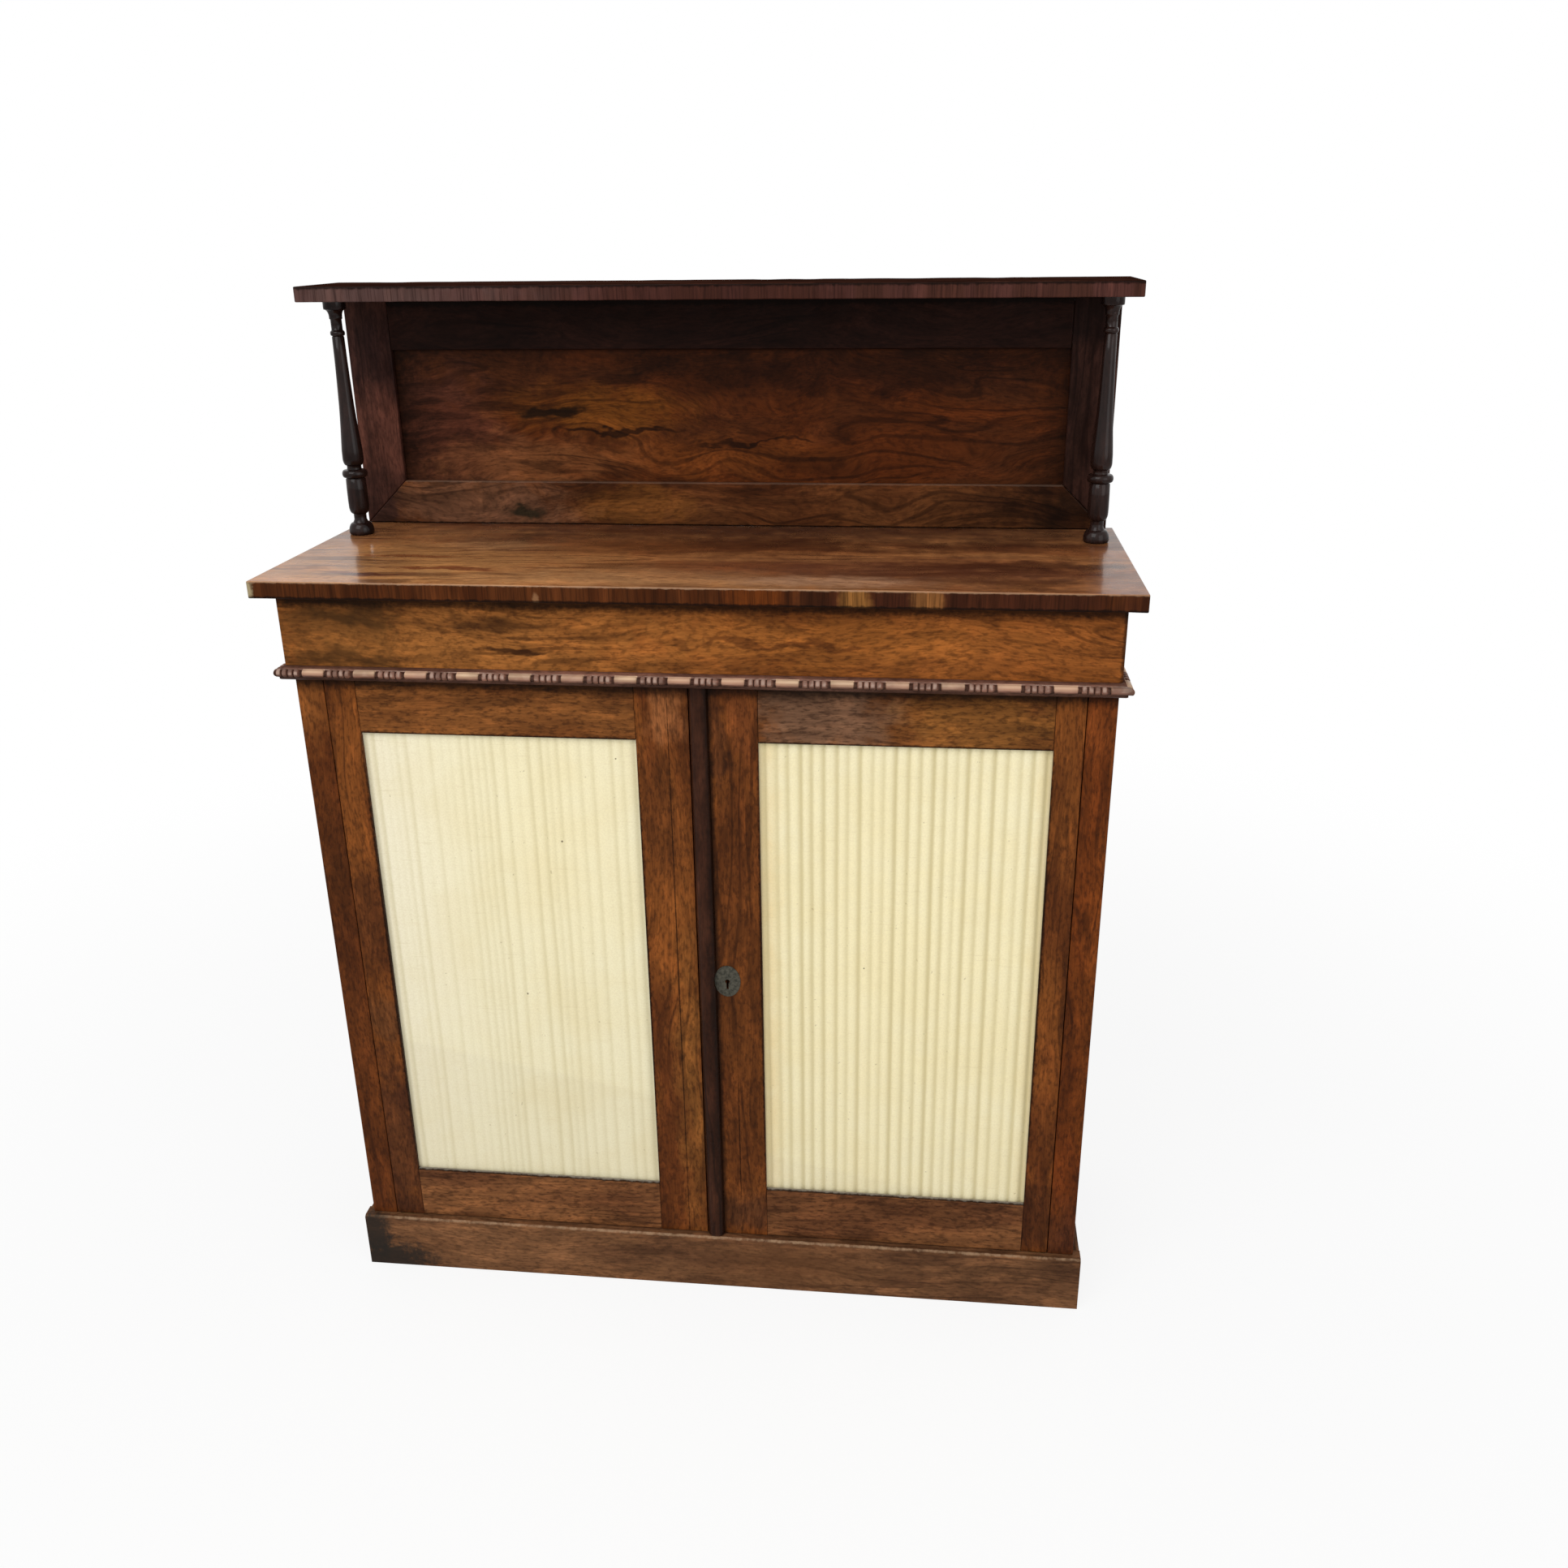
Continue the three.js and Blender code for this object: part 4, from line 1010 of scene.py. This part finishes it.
class BeadMoulding(bpy.types.Operator):
    """Turns the bead-and-reel rods and sets them on their strip, mitred at the corners"""

    bl_idname = "chiffonier.bead_moulding"
    bl_label = "Bead moulding"

    lip = 0.0012
    bar_turn, bar_blur = 0.0014, 0.0004
    dirt, crown, rod_edge = (0.0043, 0.0034), (0.0042, 0.0048), (0.0056, 0.0051)
    underside, lit = (-0.0018, -0.0045), (-0.0022, 0.0006)
    dark_end = (0.466, 0.474)

    def execute(self, context):
        low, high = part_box("bead_moulding_front")
        corner = high.x - (high.y - low.y)
        self.length("bead_moulding_front", Matrix.Identity(3), low.x, high.x, high.y)
        self.mitre("bead_moulding_front", (corner, high.y, 1, 1), (-corner, high.y, -1, 1))
        for side, sign in zip(SIDES, (-1, 1)):
            node = f"bead_moulding_{side}"
            side_low, side_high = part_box(node)
            back = min(abs(side_low.x), abs(side_high.x))
            turn = Matrix.Rotation(sign * math.pi / 2, 3, "Z")
            start, end = (side_low.y, side_high.y) if sign > 0 else (-side_high.y, -side_low.y)
            self.length(node, turn, start, end, -back)
            self.mitre(node, (sign * back, high.y, -sign, -1))
        return {"FINISHED"}

    def length(self, node, turn, start, end, back):
        """One length, drawn along X with its back on the plane y = back, then turned about the middle."""
        sizes = settings().turning
        low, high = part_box(node)
        tall, tip = high.z - low.z, min(high.x - low.x, high.y - low.y)
        strip, lip = sizes.strip_projection, self.lip
        outline = ((0, 0), (0, tall), (-lip, tall), (-2 * lip, tall * 0.93), (-strip * 0.82, tall * 0.8))
        outline += ((-strip, tall * 0.72), (-strip, lip), (lip - strip, 0))
        piece = drawn(f"{node}_strip", [(start, y, z) for y, z in outline], (end - start, 0, 0))
        put_at(piece, (0, back, low.z))
        centre = Vector((0, back + sizes.bead_radius - tip, low.z + sizes.bead_height))
        combine(piece, put_at(self.rod(start, end), centre))
        piece.data.transform(turn.to_4x4())
        smooth(piece, 50)
        look = Timber("X", 0x865F50, 0x6B483A, 0x2B1812, 101.0, streak=0.5, pores=0.4)
        wood = rosewood(f"{node} rosewood", look)
        self.rub(Graph(wood), turn, centre)
        finished(piece, node, "beaded_wood", wood)

    def rub(self, graph, turn, centre):
        """Rubs the bars pale with a painted highlight on their upper side, paints highlights on the beads'
        crowns, and darkens the necks between the beads with dirt and painted shade, and the rod's underside
        with painted shade.
        """
        sizes = settings().turning
        right, out, up = (graph.vector("DOT_PRODUCT", graph.place, tuple(axis)) for axis in turn.col)
        out = graph.math("SUBTRACT", out, centre.y)
        up = graph.math("SUBTRACT", up, centre.z)
        apart = graph.math("SQRT", graph.math("ADD", graph.product(out, out), graph.product(up, up)))
        colour = graph.shader.inputs["Base Color"].links[0].from_socket
        # Dirt and painted shade down between the beads, then painted shade on the rod's underside.
        colour = graph.stain(colour, apart, *self.dirt, 0.75, 0x2E1C16)
        colour = graph.stain(colour, up, *self.underside, 0.55, SHADE)
        # Painted highlights on the upper side of the rod and on the beads' crowns.
        lit_rod = graph.product(graph.ramp(up, *self.lit), graph.ramp(apart, *self.rod_edge))
        crown_highlight_spread = graph.ramp(graph.noise(graph.place, 90, 1, 0.5), 0.4, 0.6, 0.25, 0.95)
        beads = graph.product(lit_rod, graph.ramp(apart, *self.crown), crown_highlight_spread)
        colour = graph.mix(beads, colour, tint(0xA98E80))
        # The bars are rubbed pale, with a painted highlight brighter towards their tops, and dimmer at the
        # right end.
        along = graph.math("PINGPONG", graph.math("SUBTRACT", right, sizes.bar_middle), sizes.period / 2)
        on_bar = graph.ramp(along, sizes.bar_length / 2 + self.bar_blur, sizes.bar_length / 2 - self.bar_blur)
        wear = graph.ramp(graph.noise(graph.place, 13, 3, 0.7), 0.36, 0.6, 0.45, 0.95)
        rubbed_lit_bars = graph.product(lit_rod, on_bar, wear, graph.ramp(right, *self.dark_end, 1.0, 0.12))
        rubbed_and_lit = graph.mix(graph.ramp(up, 0.0006, 0.0032), tint(0xA8846A), tint(0xDCBD9C))
        rubbed_and_lit = graph.stain(rubbed_and_lit, graph.noise(graph.place, 17, 1, 0.5), 0.44, 0.6, 0.4, 0xBC8A74)
        graph.surface(Base_Color=graph.mix(rubbed_lit_bars, colour, rubbed_and_lit))

    def rod(self, start, end):
        """Enough periods of bar and beads to reach past both ends, turned about the X axis."""
        sizes = settings().turning
        first = math.floor((start - sizes.bar_middle) / sizes.period)
        count = math.ceil((end - sizes.bar_middle) / sizes.period) - first + 1
        piece = turned("rod", self.profile(), sizes.bead_steps)
        apply_modifier(
            piece,
            "ARRAY",
            count=count,
            use_relative_offset=False,
            use_constant_offset=True,
            constant_offset_displace=(0, 0, sizes.period),
            use_merge_vertices=True,
            merge_threshold=FACE_SNAP,
        )
        piece.data.transform(Matrix.Rotation(math.pi / 2, 4, "Y"))
        put_at(piece, (sizes.bar_middle + first * sizes.period - sizes.bar_length / 2, 0, 0))
        edit(piece)
        bpy.ops.mesh.fill_holes(sides=0)
        face_outwards()
        trim(piece, (start, 0, 0), (-1, 0, 0))
        trim(piece, (end, 0, 0), (1, 0, 0))
        return piece

    def profile(self):
        """One period: a bar with rounded ends, then the beads."""
        sizes = settings().turning
        neck, bar, end, turn = sizes.neck_radius, sizes.bar_radius, sizes.bar_length, self.bar_turn
        pitch = (sizes.period - end - 2 * sizes.bead_gap) / sizes.beads
        points = [(neck, 0), (bar * 0.86, turn * 0.25), (bar, turn)]
        points += [(bar, end - turn), (bar * 0.86, end - turn * 0.25), (neck, end)]
        for bead in range(sizes.beads):
            begin = end + sizes.bead_gap + bead * pitch
            points.append((neck, begin))
            for share in (0.1, 0.28, 0.5, 0.72, 0.9):
                swell = math.sqrt(1 - (2 * share - 1) ** 2)
                points.append((neck + (sizes.bead_radius - neck) * swell, begin + share * pitch))
        points.append((neck, sizes.period))
        return points

    def mitre(self, node, *cuts):
        """Trims a length at 45 degrees where it meets its neighbour."""
        piece = bpy.data.objects[f"{node}_strip"]
        for x, y, right, away in cuts:
            trim(piece, (x, y, 0), (right, away, 0))


class DoorFrames(bpy.types.Operator):
    """Models the stiles and rails of both doors, and finishes the boards behind the silks"""

    bl_idname = "chiffonier.door_frames"
    bl_label = "Door frames"

    shade_reach = 0.83

    def execute(self, context):
        top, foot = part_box("left_door_top_rail")[0].z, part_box("left_door_bottom_rail")[1].z
        # A pale grey line on the ledge below each silk: painted light on the top of the reveal.
        lit_ledge = Patch((0, DOOR_FACE + 0.006, foot), (ENDLESS, 0.008, 0.003), 0x9A9286, 0.75)
        left_tones = clouds(DOOR_FACE, (-0.09, 0.85, 0.06, 0.03, 0x4A2A16))
        right_tones = clouds(
            DOOR_FACE, (0.15, 0.835, 0.14, 0.1, 0x7A5F4C), (0.33, 0.83, 0.16, 0.06, 0x94602C)
        )
        # The dark line at the silk's foot is painted shade.
        dull = RUST_X._replace(ground=0x875835, warm=0x6A4228, marks=(line_across(foot, 0.003), lit_ledge))
        for seed, (side, tones) in enumerate(zip(SIDES, (left_tones, right_tones))):
            # Painted shade along the top rail's lower edge, above the silk.
            marks = (MOULDING_SHADOW, line_across(top, 0.004))
            board(f"{side}_door_top_rail", RUST_X, seed=130.0 + 7 * seed, patches=tones, marks=marks)
            board(f"{side}_door_bottom_rail", dull, seed=150.0 + 7 * seed)
            backing = plain_wood(f"{side} backing wood", "Z", 0x9A7448, 0x7A5732, 8.0 + seed)
            paint(f"{side}_door_backing", backing)
        self.outer_stiles()
        self.inner_stiles()
        return {"FINISHED"}

    def outer_stiles(self):
        tones = clouds(
            DOOR_FACE,
            (-0.43, 0.55, 0.06, 0.13, 0x3C2013),
            (-0.43, 0.2, 0.07, 0.24, 0x38221A),
            (-0.43, 0.4, 0.06, 0.06, 0x583822),
        )
        self.stile("left_door_outer_stile", 110.0, 1, tones)
        tones = clouds(DOOR_FACE, (0.43, 0.14, 0.06, 0.1, 0x3C2013))
        self.stile("right_door_outer_stile", 117.0, 0, tones)

    def inner_stiles(self):
        tones = clouds(DOOR_FACE, (-0.05, 0.7, 0.05, 0.14, 0x5E3418))
        tones += clouds(0, (-0.02, 0.31, 0.028, 0.33, 0x98622E, 0.6, 0.6), reach=ENDLESS)
        tones += clouds(DOOR_FACE, (-0.035, 0.83, 0.04, 0.06, 0xB27042))
        self.stile("left_door_inner_stile", 171.0, 0, tones, self.crack(-0.034, 0.47, 0.9))
        tones = clouds(
            DOOR_FACE,
            (0.045, 0.4, 0.09, 0.55, 0x5C3216),
            (0.055, 0.83, 0.03, 0.09, 0x7C4422),
            (0.024, 0.8, 0.02, 0.12, 0x3E2418),
            (0.045, 0.12, 0.06, 0.06, 0x442C1E),
        )
        # Painted shadow of the astragal on the right door's inner stile.
        astragal_shadow = line_up(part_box("astragal")[1].x, 0.0065, SHADE, 0.75, 0.5)
        self.stile("right_door_inner_stile", 178.0, 1, tones, self.crack(0.0386, 0.25, 0.2), astragal_shadow)

    def crack(self, x, middle, reach):
        """A fine upright crack in the veneer."""
        return Patch((x, DOOR_FACE, middle), (0.0012, 0.01, reach), SHADE, 0.8)

    def stile(self, node, seed, end, tones, *marks):
        """A stile, with painted shade under the moulding and along its edge (end 0 or 1) next to the silk."""
        silk_low, silk_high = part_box("left_door_silk")
        middle, reach = (silk_low.z + silk_high.z) / 2, (silk_high.z - silk_low.z) * self.shade_reach
        edge = Patch((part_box(node)[end].x, DOOR_FACE, middle), (0.0045, ENDLESS, reach), SHADE, 0.85)
        board(node, RUST_Z, seed=seed, patches=tones, marks=(*marks, MOULDING_SHADOW, edge))


SILK_TONES_AND_REFLECTIONS = {
    "left": ((-0.42, 0.6, 0.14, 0.6, 0xF4ECD6, 0.6, 0.8), (-0.18, 0.68, 0.17, 0.34, 0xF6E8B8, 0.5, 0.8)),
    "right": (
        (0.25, 0.5, 0.4, 0.6, 0xFCEDB8, 0.6, 0.8),
        # Warm painted reflection of the wood along the right silk's two edges.
        (0.0729, 0.48, 0.03, 0.9, 0xE6C98C, 0.6, 0.6),
        (0.4149, 0.48, 0.02, 0.9, 0xE6CC90, 0.5, 0.6),
    ),
}
SILK_SPECKS = {
    "left": (
        (-0.1738, 0.6596, 0.0022, 0.0022, 0x4A3A20, 0.9),
        (-0.2347, 0.4417, 0.002, 0.0026, 0x4A3A20, 0.9),
        (-0.1001, 0.771, 0.0018, 0.0018, 0x6A5A38, 0.9),
    ),
    "right": ((0.2, 0.5, 0.0016, 0.0016, 0x6A5A38, 0.8),),
}


class Silks(bpy.types.Operator):
    """Stretches a sheet of pleated silk in each door's opening"""

    bl_idname = "chiffonier.silks"
    bl_label = "Pleated silks"

    rows = 36
    column_shares = (0, 0.05, 0.1, 0.16, 0.26, 0.4, 0.55, 0.7, 0.82, 0.9, 0.95)
    fold_near, fold_far = 0.0021, 0.0037
    crown_place, crown_slope = 0.4, 0.25
    sway, swell, slack = 0.0036, 0.0006, 0.22
    sway_grain, swell_grain, slack_grain = (30, 5), (18, 7), (50, 6)
    gap = 0.0004

    def execute(self, context):
        cloth = settings().silk
        left = self.material("left", cloth.left_fold_shade, 0.287)
        self.sheet("left", cloth.left_pitch, cloth.left_depth, left, (0.34, 0.85), seed=4)
        right = self.material("right", cloth.right_fold_shade, 0.231)
        self.sheet("right", cloth.right_pitch, cloth.right_depth, right, (0.12, 0.5), seed=9)
        return {"FINISHED"}

    def material(self, side, fold_shade_share, dim_below):
        tones, specks = (clouds(0, *table[side], reach=ENDLESS) for table in (SILK_TONES_AND_REFLECTIONS, SILK_SPECKS))
        return woven_silk(f"{side} silk", fold_shade_share, dim_below, tones, specks)

    def columns(self, width, pitch, spread, fade, seed):
        """Across the sheet, for each column of the mesh: its place and how deep in a fold it lies."""
        draw = random.Random(seed)
        count = round(width / pitch)
        widths = [1 + spread * draw.uniform(-1, 1) for _ in range(count)]
        deeps = [1 - fade * draw.random() for _ in range(count)]
        scale = width / sum(widths)
        places, start = [], 0.0
        for index, share_width in enumerate(widths):
            pleat = share_width * scale
            after = deeps[(index + 1) % count]
            for share in self.column_shares:
                near = math.exp(-((share * pleat / self.fold_near) ** 2))
                far = math.exp(-(((1 - share) * pleat / self.fold_far) ** 2))
                slope = self.crown_slope * abs(share - self.crown_place)
                deep = max(near * deeps[index], far * after, slope * deeps[index])
                places.append((start + share * pleat, deep))
            start += pleat
        places.append((width, deeps[0]))
        return places

    def ripple(self, place, seed, rise, grain):
        """Smooth noise over the sheet, between -1 and 1."""
        return noise.noise(Vector((place * grain[0], seed, rise * grain[1])))

    def sheet(self, side, pitch, depth, material, unevenness, seed):
        """One silk: unevenness says how much the pleats' widths spread and how far their folds fade."""
        spread, fade = unevenness
        node = f"{side}_door_silk"
        low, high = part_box(node)
        columns = self.columns(high.x - low.x, pitch, spread, fade, seed)
        across = len(columns)
        bpy.ops.mesh.primitive_grid_add(x_subdivisions=across - 1, y_subdivisions=self.rows, size=1)
        piece = named(f"{side}_silk_sheet")
        fold_shade = piece.data.attributes.new("fold_shade", "FLOAT", "POINT")
        for index, vertex in enumerate(piece.data.vertices):
            place, deep = columns[index % across]
            rise = (index // across) / self.rows
            sway = self.sway * spread * self.ripple(place, seed, rise, self.sway_grain)
            swell = self.swell * self.ripple(place, seed * 2, rise, self.swell_grain)
            slack = 1 - self.slack + self.slack * self.ripple(place, seed * 3, rise, self.slack_grain)
            x = min(high.x, max(low.x, low.x + place + sway))
            y = low.y + self.gap + abs(swell) + depth * deep * slack
            vertex.co = (x, y, low.z + rise * (high.z - low.z))
            # How deep in its fold each point lies, for the painted shade in the folds.
            fold_shade.data[index].value = deep
        apply_modifier(piece, "SOLIDIFY", thickness=settings().silk.thickness, offset=-1)
        smooth(piece, 75)
        finished(piece, node, "silk", material)


class Astragal(bpy.types.Operator):
    """Draws the dark half-round bead beside the doors' meeting line"""

    bl_idname = "chiffonier.astragal"
    bl_label = "Astragal"

    steps = 28

    def execute(self, context):
        low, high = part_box("astragal")
        middle = (low.x + high.x) / 2
        half = (high.x - low.x) / 2
        reach = high.y - low.y
        turns = [math.pi * step / self.steps for step in range(self.steps + 1)]
        section = [(middle - math.cos(t) * half, high.y - math.sin(t) * reach, low.z) for t in turns]
        piece = drawn("astragal_bead", section, (0, 0, high.z - low.z))
        notch = oval("notch", *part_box("escutcheon"), clearance=0.0003, reach=0.02)
        combine(piece, notch, "DIFFERENCE")
        smooth(piece, 35)
        look = Timber("Z", 0x46281A, 0x30190F, 0x110907, 190.0, 0.5, pores=0.3, rough=0.9, coat=0.06)
        # Painted shade down the astragal's right side, away from the light.
        look = look._replace(marks=(line_up(high.x, 0.009, SHADE, 0.75, 0.6),))
        finished(piece, "astragal", "ebonised_wood", rosewood("astragal ebony", look))
        return {"FINISHED"}


class Escutcheon(bpy.types.Operator):
    """Models the domed oval plate round the keyhole, with its two pins"""

    bl_idname = "chiffonier.escutcheon"
    bl_label = "Escutcheon"

    insets = (0.0008, 0.004, 0.003)
    pin_place = 0.42

    def execute(self, context):
        low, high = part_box("escutcheon")
        piece = oval("escutcheon_plate", low, high)
        edit(piece, "DESELECT")
        select_parts(piece, "FACE", lambda face: face.normal.y < -0.5)
        for step in self.insets:
            bpy.ops.mesh.inset(thickness=step, depth=0)
        leave_edit()
        self.dome(piece, low, high)
        combine(piece, keyhole("keyhole", low, high), "DIFFERENCE")
        smooth(piece, 35)
        for place in (self.pin_place, -self.pin_place):
            combine(piece, self.pin(low, high, place))
        bronze = old_metal("aged bronze", settings().fittings.bronze, 0x34332B, 0.5, 3.0, 0.6)
        finished(piece, "escutcheon", "aged_brass", bronze)
        return {"FINISHED"}

    def dome(self, piece, low, high):
        """Lowers the plate's rim, so that its middle stands highest."""
        middle = (low + high) / 2
        half = (high - low) / 2
        drop = settings().fittings.dome
        for vertex in piece.data.vertices:
            if vertex.co.y < middle.y:
                out = math.hypot((vertex.co.x - middle.x) / half.x, (vertex.co.z - middle.z) / half.z)
                vertex.co.y += drop * min(1.0, out) ** 2

    def pin(self, low, high, place):
        """A small domed pin head."""
        head, rise, shank, sunk = 0.0016, 0.0006, 0.001, 0.0012
        profile = [(0, -shank), (head, -shank), *quarter((head, 0), (0, rise), True, 4)]
        piece = turned("pin", profile, 12)
        piece.rotation_euler = Euler((math.pi / 2, 0, 0))
        middle = (low + high) / 2
        return put_at(piece, (middle.x, low.y + sunk, middle.z + place * (high.z - low.z)))


def keyhole(name, low, high):
    """A tool of the keyhole's shape: a round with a slot below it."""
    middle = (low + high) / 2
    radius, half_slot, fall, reach = 0.003, 0.0013, 0.011, 0.01
    first, sweep, steps = -62, 304, 24
    turns = [math.radians(first + sweep * step / steps) for step in range(steps + 1)]
    outline = [(radius * math.cos(turn), radius * math.sin(turn)) for turn in turns]
    outline += [(-half_slot, -fall), (half_slot, -fall)]
    section = [(middle.x + x, low.y - reach, middle.z + z) for x, z in outline]
    return drawn(name, section, (0, 2 * reach, 0))


class Fittings(bpy.types.Operator):
    """Gives the pivots, the lock and the flush bolts their metal"""

    bl_idname = "chiffonier.fittings"
    bl_label = "Lock, bolts and pivots"

    def execute(self, context):
        metal = settings().fittings
        brass = old_metal("old brass", metal.brass, 0x8E7442, 0.42, 1.0)
        steel = old_metal("bright steel", metal.steel, 0x6E6D6B, 0.4, 2.0)
        ends = [f"{side}_{end}" for side in SIDES for end in ("top", "bottom")]
        plates = [f"{end}_{kind}" for end in ends for kind in ("pivot", "socket")]
        plates += ["lock_case", "top_bolt_plate", "bottom_bolt_plate", "top_bolt", "bottom_bolt"]
        for node in plates:
            finished(copied(node, METAL_ARRIS), node, "brass", brass)
        finished(copied("lock_bolt", BOLT_ARRIS), "lock_bolt", "steel", steel)
        return {"FINISHED"}


class Stage(bpy.types.Operator):
    """Sets the floor, the lamps and the camera"""

    bl_idname = "chiffonier.stage"
    bl_label = "Floor, lamps and camera"

    floor_size, floor_drop = 30, 0.0004
    glow_from, glow_to, near_glow, far_glow = 0.7, 2.4, 0.86, 1.0
    lamp_aim = (0, 0, 0.6)
    film_width, far_limit = 36, 100

    def execute(self, context):
        self.camera()
        self.floor()
        self.world()
        values = settings().stage
        self.lamp("key", values.key_power, (-1.1, -2.4, 3.0), 2.4)
        self.lamp("fill", values.fill_power, (2.2, -2.0, 1.6), 1.8)
        context.scene.view_settings.view_transform = "Standard"
        return {"FINISHED"}

    def camera(self):
        values = settings().stage
        bpy.ops.object.camera_add(location=values.camera_place)
        camera = bpy.context.object
        camera.name = "camera"
        turn = Matrix.Rotation(values.camera_turn, 3, "Z")
        tilt = Matrix.Rotation(math.pi / 2 - values.camera_tilt, 3, "X")
        roll = Matrix.Rotation(values.camera_roll, 3, "Z")
        camera.rotation_euler = (turn @ tilt @ roll).to_euler()
        camera.data.sensor_width = self.film_width
        camera.data.lens = values.lens
        camera.data.clip_end = self.far_limit
        bpy.context.scene.camera = camera

    def floor(self):
        """A pale floor that takes shadow, and fades to the white of the room farther off."""
        bpy.ops.mesh.primitive_plane_add(size=self.floor_size, location=(0, 0, -self.floor_drop))
        floor = named("floor")
        graph = new_graph("pale floor")
        away = graph.vector("LENGTH", graph.place)
        glow = graph.ramp(away, self.glow_from, self.glow_to, self.near_glow, self.far_glow)
        share = graph.product(graph.node("LightPath")["Is Camera Ray"], glow)
        white = graph.node("Emission", {"Color": WHITE, "Strength": 1.0})[0]
        shown = graph.node("MixShader", {0: share, 1: graph.shader.outputs[0], 2: white})[0]
        graph.put(graph.nodes["Material Output"].inputs["Surface"], shown)
        graph.surface(Base_Color=settings().stage.floor, Roughness=0.9, Specular_IOR_Level=0.1)
        floor.data.materials.append(graph.material)

    def world(self):
        """Even light from all round, and full white where the room is seen, straight or in the polish."""
        world = bpy.data.worlds.new("room")
        bpy.context.scene.world = world
        world.use_nodes = True
        room = Tree(world.node_tree)
        light = room.nodes["Background"]
        room.put(light.inputs["Strength"], settings().stage.world_light)
        room.put(light.inputs["Color"], WHITE)
        white = room.node("Background", {"Color": WHITE, "Strength": 1.0})[0]
        ray = room.node("LightPath")
        looking = room.math("MAXIMUM", ray["Is Camera Ray"], ray["Is Glossy Ray"])
        looking = room.math("MAXIMUM", looking, ray["Is Transmission Ray"])
        shown = room.node("MixShader", {0: looking, 1: light.outputs[0], 2: white})[0]
        room.put(room.nodes["World Output"].inputs["Surface"], shown)

    def lamp(self, name, power, place, size):
        bpy.ops.object.light_add(type="AREA", location=place)
        lamp = bpy.context.object
        lamp.name = name
        lamp.data.energy = power
        lamp.data.size = size
        aim = Vector(self.lamp_aim) - Vector(place)
        lamp.rotation_euler = aim.to_track_quat("-Z", "Y").to_euler()


class ChiffonierPanel(bpy.types.Panel):
    """Lists the pieces in the order in which they are built"""

    bl_idname = "VIEW3D_PT_chiffonier"
    bl_label = "Chiffonier"
    bl_space_type = "VIEW_3D"
    bl_region_type = "UI"
    bl_category = "Chiffonier"

    def draw(self, context):
        for piece in PIECES:
            self.layout.operator(piece.bl_idname)


PIECES = (
    Stage,
    Tops,
    BackFrame,
    Columns,
    Carcase,
    BeadMoulding,
    DoorFrames,
    Silks,
    Astragal,
    Escutcheon,
    Fittings,
)
GROUPS = (TimberSettings, SilkSettings, TurningSettings, FittingSettings, StageSettings, ChiffonierSettings)


def register():
    for group in (*GROUPS, *PIECES, ChiffonierPanel):
        bpy.utils.register_class(group)
    bpy.types.Scene.chiffonier = PointerProperty(type=ChiffonierSettings)


def unregister():
    del bpy.types.Scene.chiffonier
    for group in reversed((*GROUPS, *PIECES, ChiffonierPanel)):
        bpy.utils.unregister_class(group)


def main():
    """Builds every piece."""
    register()
    for piece in PIECES:
        family, action = piece.bl_idname.split(".")
        getattr(getattr(bpy.ops, family), action)()


if __name__ == "__main__":
    main()
